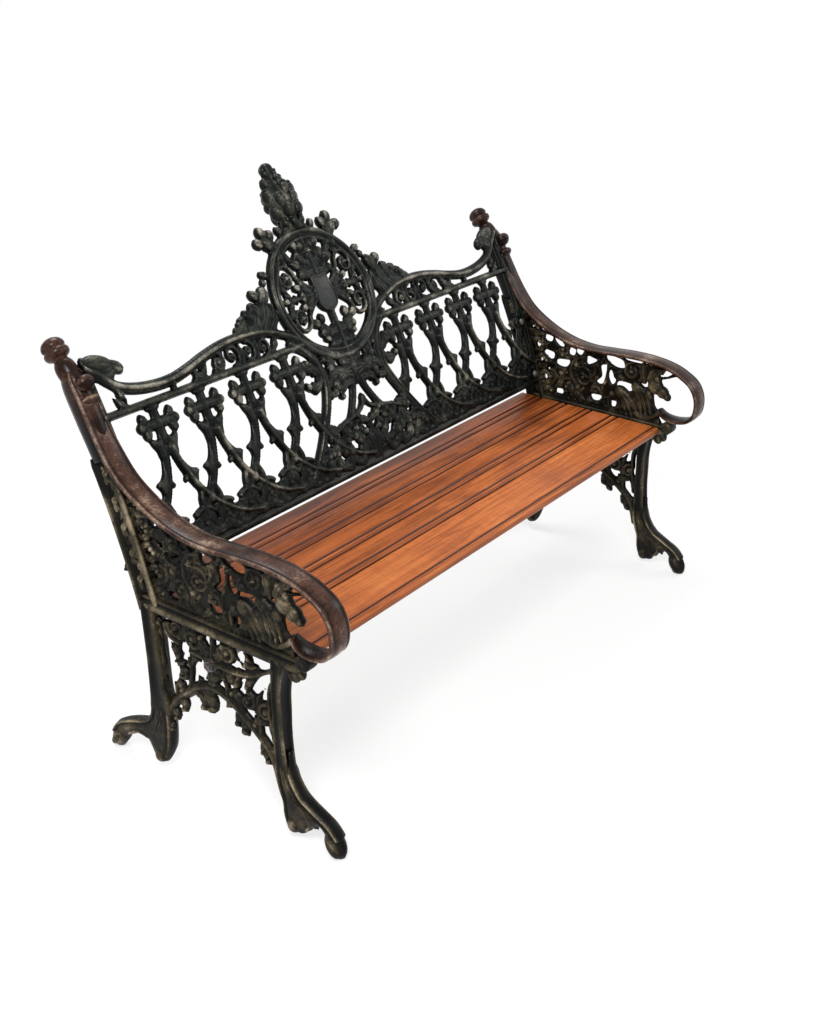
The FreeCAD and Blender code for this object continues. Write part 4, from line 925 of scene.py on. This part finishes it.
# leaves along the stile's front edge, and a running leaf in its hollow
for k, z in enumerate(np.arange(436.0, 700.0, 22.0)):
    near = float(back_depth(z)) - 8
    rise, bend = (24, 0.25) if k % 2 else (6, -0.25)
    arm.leaf((near, z), (near - 30, z + rise), 24, 12, bend, 2, curl=6)
for k, z in enumerate(np.arange(432.0, 690.0, 26.0)):
    middle = float(back_depth(z)) + 20
    root, tip, bend = (-6, 16, 0.25) if k % 2 else (8, -4, -0.25)
    arm.leaf((middle + root, z), (middle + tip, z + 34), 26, 15.5, bend, 2)
# the panel ends inside the handrail
where, edge = arm.inside([(y, z - 6) for y, z in ARM_LINE[:-2]] + [(112, 400), (720, 400), (720, 852)])
arm.edge[where] = np.maximum(arm.edge[where], edge)

# Apron of each end, below the seat: an arch with hooked leaves between the legs,
# a garland, and a rosette where the tie rod passes. It is cast with its end.
apron = PatternBoard(150, 530, 110, 404, GRID)
arch = flowing([(172, 112), (186, 158), (208, 190), (262, 232), (306, 257), (345, 266), (382, 254),
                (412, 232), (450, 198), (474, 158), (490, 112)], 60)
APRON_OPENINGS = (
    [(189, 391), (241, 391), (236, 372), (216, 364), (196, 376)],
    [(267, 384), (284, 390), (278, 366), (266, 360)],
    [(171, 354), (178, 330), (186, 304), (168, 298), (167, 330)],
    [(202, 348), (222, 334), (237, 308), (226, 306), (208, 330)],
    [(168, 272), (186, 274), (186, 259), (168, 258)], [(414, 336), (427, 336), (427, 318), (414, 316)],
    [(481, 352), (478, 312), (474, 292), (456, 298), (464, 322)],
    [(448, 278), (466, 276), (476, 250), (458, 242), (447, 258)],
    [(366, 300), (384, 306), (392, 290), (376, 280)])
apron.rib(arch, 20, 10, grooves=2.2)
apron.rib(flowing([(168, 384), (208, 353), (246, 334), (295, 325), (358, 328), (420, 333), (470, 350),
                   (512, 384)], 40), 15, 10, grooves=2)
for line, width in (
        ([(206, 350), (226, 293), (220, 204)], 12), ([(488, 346), (458, 286), (448, 204)], 12),
        ([(272, 328), (286, 290), (264, 238)], 11), ([(418, 332), (404, 290), (412, 238)], 11),
        ([(180, 350), (198, 316), (196, 262)], 11), ([(510, 350), (486, 300), (482, 232)], 11),
        ([(345, 322), (345, 264)], 17), ([(345, 322), (345, 398)], 14), ([(196, 262), (188, 206)], 10),
        ([(345, 322), (314, 296), (306, 262)], 11), ([(345, 322), (376, 296), (384, 258)], 11),
        ([(345, 326), (310, 352), (290, 396)], 10), ([(345, 326), (380, 352), (400, 396)], 10)):
    apron.rib(flowing(line, 16), width, 8.5, width * 0.85, grooves=1.6)
for centre, radius, start, turns in (((248, 372), 22, 180, 1.15), ((442, 370), 22, 0, -1.15),
                                     ((304, 364), 22, 0, -1.15), ((396, 362), 24, 180, 1.15),
                                     ((206, 266), 18, 90, -1.1), ((252, 274), 20, 90, 1.1),
                                     ((428, 272), 20, 90, -1.1)):
    apron.scroll(centre, radius, start, turns, 12, 9, 8)
apron.flower((345, 322), 27, 8, 14)
# hooked leaves that hang below the arch
apron.leaves((
    ((190, 182), (204, 150), 24, .3), ((202, 190), (218, 166), 20, .2), ((236, 222), (266, 196), 30, .3),
    ((258, 230), (284, 208), 26, .25), ((300, 256), (306, 240), 16, 0), ((352, 262), (346, 214), 26, .25),
    ((372, 254), (352, 208), 30, -.25), ((396, 240), (372, 206), 28, -.3),
    ((448, 204), (428, 180), 26, -.3), ((470, 168), (452, 150), 22, -.3),
    ((484, 128), (468, 116), 20, -.3)), 10.5, 2, 8)
apron.leaves((
    ((345, 340), (312, 376), 30, .2), ((345, 340), (378, 376), 30, -.2), ((270, 398), (258, 348), 28, .2),
    ((420, 398), (432, 348), 28, -.2), ((300, 326), (280, 296), 28, .2), ((392, 328), (408, 296), 26, -.2),
    ((226, 320), (256, 304), 26, .2), ((462, 318), (436, 304), 26, -.2), ((212, 240), (236, 226), 26, .2),
    ((452, 240), (430, 226), 24, -.2), ((326, 300), (342, 276), 22, .2), ((364, 300), (348, 276), 22, -.2),
    ((190, 244), (176, 216), 22, .2), ((270, 262), (296, 276), 26, .2), ((500, 260), (512, 220), 24, .2)),
    10, 3, 5)
apron.foliage((176, 230), (500, 390), 60, 9, 22, 8.5)
# thin webs of iron close the narrow gaps, the wide ones stay open
apron.edge = np.where(apron.edge < 30, apron.edge - 2.5, apron.edge)
for opening in APRON_OPENINGS:
    apron.pierce(opening, 1.35)

# Both ends are put together here, the right one as the left one's mirror image. A
# bun knob, cast on its own from a turned pattern, stands on each stile.
STILE_TOP = 846.0
KNOB_TILT = math.radians(43)
KNOB_PROFILE = [(13, 0), (14, 4), (17, 8), (23.5, 12), (26.4, 17), (26.4, 23), (23.6, 27), (22.6, 29),
                (25.0, 33), (24.4, 39), (20, 46), (12, 51), (5, 53), (0.5, 53.5)]
VOLUTE_PROFILE = [(1, 0), (9, -1.5), (13, 0), (16, 3), (17, 8), (17, 26), (16, 31), (13, 34), (9, 35.5),
                  (1, 34)]
NECK_PROFILE = [(19, 0), (21.5, 10), (22, 22), (20.5, 33), (17, 41), (13, 46), (12, 50)]
knob_axis = np.array([0, math.sin(KNOB_TILT), math.cos(KNOB_TILT)])
knob_foot = np.array([0, float(back_depth(STILE_TOP)) + 40, STILE_TOP + 20])
foot_board = feet()
for side, hand in ((-1, "left"), (1, "right")):
    node = hand + "_end_frame"

    def on_end(y, z, out):
        return np.column_stack([side * (HALF + out), y, z])

    shift = np.array([side * HALF, 0, 0])
    leg_parts = [leg(side, FRONT_LEG, 0.80), leg(side, REAR_LEG, 0.80), foot_board.cast(on_end, usual=14.0)]
    for y, z, way in ((36, 28, -1), (634, 28, 1)):
        for offset in (-12, 0, 12):
            leg_parts.append(lump((side * HALF + offset, y, z), (0, way * 0.62, -0.78), 23, 10.5))
    legs = merged(leg_parts)
    # seat rail with a volute at its front, ledge for the boards, lugs for the back
    inner = side * (HALF - 57)
    edge = side * (HALF - 6)
    frame_parts = [seat_rail(side), stile(side, STILE_SECTION, 398, 700),
                   turned(shift + (-17, 107, 418), (1, 0, 0), VOLUTE_PROFILE, sides=32),
                   block(min(inner, edge), 132, 390, max(inner, edge), 539, 399)]
    for z in BOLT_LEVELS:
        place = on_back(np.zeros(1), np.full(1, float(z)), np.full(1, -13.2))[0]
        frame_parts.append(lump(place + (side * 714, 0, 0), (1, 0, 0), 21, 14))
    # leaf drop under the front of the rail
    for y, z, length, thick in ((124, 392, 20, 12), (136, 380, 18, 11), (118, 406, 16, 13)):
        frame_parts.append(lump((side * HALF, y, z), (0, -0.55, -0.83), length, thick, 5, 0.12))
    for y, z in ((612, 619), (556, 451)):
        frame_parts.append(lump((side * HALF, y, z), (0, 0.94, -0.34), 10, 9))
    # the stile's rounded head under the knob, a rosette boss and a leaf collar
    head = shift + knob_foot - knob_axis * 46
    stile_parts = [stile(side, STILE_HEAD, 691, 860), turned(head, knob_axis, NECK_PROFILE)]
    boss = on_back(np.zeros(1), np.full(1, 826.0), np.full(1, 14.0))[0] + shift
    stile_parts += [lump(boss + (0, -2, 2), (1, 0, 0), 20, 17, 3, 0.06),
                    lump(boss + (0, -15, -30), (1, 0, 0), 22, 11, 3, 0.08)]
    for offset in (-11, 11):
        stile_parts.append(lump(boss + (offset, -13, -44), (offset / 30, 0.5, 0.8), 13, 8))
    for name, made, finish in (
            ("legs", legs, olive_iron), ("seat_rail", merged(frame_parts), olive_iron),
            ("stile", merged(stile_parts), brown_iron), ("handrail", handrail(side), brown_iron),
            ("arm_panel", arm.cast(on_end), olive_iron), ("apron", apron.cast(on_end), olive_iron)):
        piece = make_piece(hand + "_" + name, *made, finish)
        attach(piece, "root")
        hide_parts(node)
    # bun knob, its spigot let into the stile
    knob = turned(shift + knob_foot - knob_axis * 6, knob_axis, KNOB_PROFILE)
    piece = make_piece(hand + "_bun_knob", *knob, brown_iron)
    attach(piece, "root")
    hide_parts(hand + "_stile_knob")

# Seat boards: five planed softwood boards, a bead struck along each front edge,
# varnished orange-brown. They are screwed up from below, so no heads show.
varnished_pine, tree = new_material("varnished softwood")
place = add_node(tree, "ShaderNodeTexCoord").outputs["Object"]
# the mark counts the boards in whole numbers, and in the fraction the darkening of the bead's
# groove, the gaps and the front nose: partly grime, partly painted shade
mark = add_node(tree, "ShaderNodeAttribute", {"attribute_name": "relief"}).outputs["Fac"]
board_number = add_node(tree, "ShaderNodeMath", {"operation": "FLOOR"}, _0=mark).outputs[0]
darkening = add_node(tree, "ShaderNodeMath", {"operation": "FRACT"}, _0=mark).outputs[0]
offset = add_node(tree, "ShaderNodeCombineXYZ", _0=board_number, _1=board_number, _2=board_number)
moved = add_node(tree, "ShaderNodeVectorMath", {"operation": "MULTIPLY_ADD", 1: (1.37, 0.71, 1.93)},
                 _0=offset.outputs[0], _2=place)
# the figure of the growth rings changes every 16 mm across a board and every 500 mm along it
rings = add_node(tree, "ShaderNodeMapping", {"Scale": (1 / 0.5, 1 / 0.016, 1 / 0.016)},
                 Vector=moved.outputs[0])
figure = add_node(tree, "ShaderNodeTexNoise", {"Scale": 1.0, "Detail": 5.0, "Distortion": 0.6},
                  Vector=rings.outputs[0])
bands = add_node(tree, "ShaderNodeMath", {"operation": "MULTIPLY", 1: 34.0}, _0=figure.outputs["Fac"])
bands = add_node(tree, "ShaderNodeMath", {"operation": "SINE"}, _0=bands.outputs[0])
# fibres 1.2 mm thick and 80 mm long, coarser than real ones so that they show
fibre = add_node(tree, "ShaderNodeMapping", {"Scale": (1 / 0.08, 1 / 0.0012, 1 / 0.0012)},
                 Vector=moved.outputs[0])
streak = add_node(tree, "ShaderNodeTexNoise", {"Scale": 1.0, "Detail": 3.0}, Vector=fibre.outputs[0])
stain = add_node(tree, "ShaderNodeTexNoise", {"Scale": 1 / 0.22, "Detail": 3.0}, Vector=moved.outputs[0])
tone = add_node(tree, "ShaderNodeMath", {"operation": "MULTIPLY_ADD", 1: 0.06, 2: 0.21},
                _0=bands.outputs[0])
tone = add_node(tree, "ShaderNodeMath", {"operation": "MULTIPLY_ADD", 1: 0.27}, _0=streak.outputs["Fac"],
                _2=tone.outputs[0])
tone = add_node(tree, "ShaderNodeMath", {"operation": "MULTIPLY_ADD", 1: 0.34}, _0=stain.outputs["Fac"],
                _2=tone.outputs[0])
# each board further back is 0.035 darker: partly grime, partly painted shade
shade = add_node(tree, "ShaderNodeMath", {"operation": "MULTIPLY_ADD", 1: -0.035}, _0=board_number,
                 _2=tone.outputs[0])
colour = add_node(tree, "ShaderNodeValToRGB", _0=shade.outputs[0])
ramp = colour.color_ramp.elements
ramp[0].position = 0.28
ramp[0].color = linear("#5c2b12")
ramp[1].position = 0.78
ramp[1].color = linear("#d4864a")
ramp.new(0.5).color = linear("#aa5c2b")
# the rear left corner is darker: partly weathering, partly painted shade
corner = add_node(tree, "ShaderNodeVectorMath", {"operation": "DOT_PRODUCT", 1: (0.5, -0.7, 0.0)}, _0=place)
shade_and_weathering = add_node(tree, "ShaderNodeMapRange", {1: -0.45, 2: 0.15, 3: 0.5, 4: 0.0}, _0=corner.outputs["Value"])
shaded_and_weathered = add_node(tree, "ShaderNodeMix", {"data_type": "RGBA", 7: linear("#4a200e")}, _0=shade_and_weathering.outputs[0],
                _6=colour.outputs["Color"])
# near-black brown mixed in by the darkening: grime and painted shade in grooves, gaps and on the front nose
grimy_and_shaded = add_node(tree, "ShaderNodeMix", {"data_type": "RGBA", 7: linear("#300f07")}, _0=darkening,
                 _6=shaded_and_weathered.outputs[2])
shine = add_node(tree, "ShaderNodeMapRange", {3: 0.30, 4: 0.48}, _0=stain.outputs["Fac"])
ridges = add_node(tree, "ShaderNodeBump", {"Strength": 0.12, "Distance": 0.0006},
                  Height=streak.outputs["Fac"])
skin = add_node(tree, "ShaderNodeBsdfPrincipled",
                {"Coat Weight": 0.05, "Coat Roughness": 0.25, "Specular IOR Level": 0.16},
                Base_Color=grimy_and_shaded.outputs[2], Roughness=shine.outputs[0], Normal=ridges.outputs["Normal"])
add_node(tree, "ShaderNodeOutputMaterial", Surface=skin.outputs[0])

# each board's width and the radius of its nose, from the front to the back
BOARDS = [(124, 9), (73.5, 4), (73.5, 4), (73.5, 4), (64.5, 4)]
SEAT_FRONT = 122
GAP = 5
THICK = 20.0
REACH = 726.7
EASE = 1.2
start = SEAT_FRONT
for number, (wide, nose) in enumerate(BOARDS, 1):
    # the third number of each point is its darkening: partly grime, partly painted shade in the bead's
    # groove, down the gap sides and on the nose
    a = np.linspace(0, np.pi / 2, 7)
    under_nose = nose if number == 1 else EASE
    low_front = [(start + under_nose * (1 - math.sin(t)), under_nose * (1 - math.cos(t)), 0.8) for t in a]
    high_front = [(start + nose * (1 - math.cos(t)), THICK - nose * (1 - math.sin(t)),
                   0.75 - 0.5 * t) for t in a]
    bead = [
        (start + nose + 1, THICK, 0), (start + 11.5, THICK, 0.02), (start + 13.2, THICK - .3, 0.3),
        (start + 14.6, THICK - 1.2, 0.85), (start + 15.4, THICK - 2.8, 0.98),
        (start + 18.8, THICK - 2.8, 0.98), (start + 19.2, THICK - .9, 0.9),
        (start + 20.2, THICK - .1, 0.35), (start + 22, THICK, 0.1), (start + 27, THICK, 0),
        (start + wide - 8, THICK, 0)]
    back_edge = [(start + wide - 2 + 2 * math.sin(t), THICK - 2 + 2 * math.cos(t),
                  0.2 + 0.4 * t) for t in a[::2]]
    section = np.array(low_front + high_front + bead + back_edge + [(start + wide, EASE, 0.8),
                                                                    (start + wide - EASE, 0, 0.8)])
    # the nose of the front board keeps 0.45 of that darkening, as painted shade
    if number == 1:
        section[:14, 2] *= 0.45
    darkening = section[:, 2]
    section = section[:, :2]
    middle = section.mean(0)
    rings = []
    for x in np.concatenate([[-REACH, -REACH + 0.8], np.linspace(-REACH + 2, REACH - 2, 40),
                             [REACH - 0.8, REACH]]):
        ease = max(0.0, EASE - (REACH - abs(x)))
        trim = (section - middle) * (1 - ease / THICK) + middle
        rings.append(np.column_stack([np.full(len(trim), x), trim[:, 0], trim[:, 1] + SEAT - THICK]))
    piece = make_piece("board_%d" % number, *lofted(rings, number + darkening), varnished_pine)
    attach(piece, "root")
    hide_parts("seat_slat_%d" % number)
    start += wide + GAP

# Steel fixings: tie rod, strap, screws, bolts, washers and nuts. They are zinc
# plated, dull grey, and browned by rust in blotches 12 mm across.
grey_steel, tree = new_material("weathered zinc plated steel")
place = add_node(tree, "ShaderNodeTexCoord").outputs["Object"]
rust = add_node(tree, "ShaderNodeTexNoise", {"Scale": 1 / 0.012, "Detail": 5.0}, Vector=place)
tint = add_node(tree, "ShaderNodeValToRGB", _0=rust.outputs["Fac"])
tint.color_ramp.elements[0].position = 0.38
tint.color_ramp.elements[0].color = linear("#6b6f70")
tint.color_ramp.elements[1].position = 0.68
tint.color_ramp.elements[1].color = linear("#4f3d33")
rough = add_node(tree, "ShaderNodeMapRange", {3: 0.38, 4: 0.62}, _0=rust.outputs["Fac"])
pitted = add_node(tree, "ShaderNodeBump", {"Strength": 0.2, "Distance": 0.0005}, Height=rust.outputs["Fac"])
skin = add_node(tree, "ShaderNodeBsdfPrincipled", {"Metallic": 0.8}, Base_Color=tint.outputs["Color"],
                Roughness=rough.outputs[0], Normal=pitted.outputs["Normal"])
add_node(tree, "ShaderNodeOutputMaterial", Surface=skin.outputs[0])
for name in ("centre_strap", "tie_rod", "tie_rod_nuts", "tie_rod_washers", "slat_screws", "strap_screws",
             "back_bolts", "back_washers", "back_nuts"):
    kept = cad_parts[name]
    kept.data.materials.clear()
    kept.data.materials.append(grey_steel)
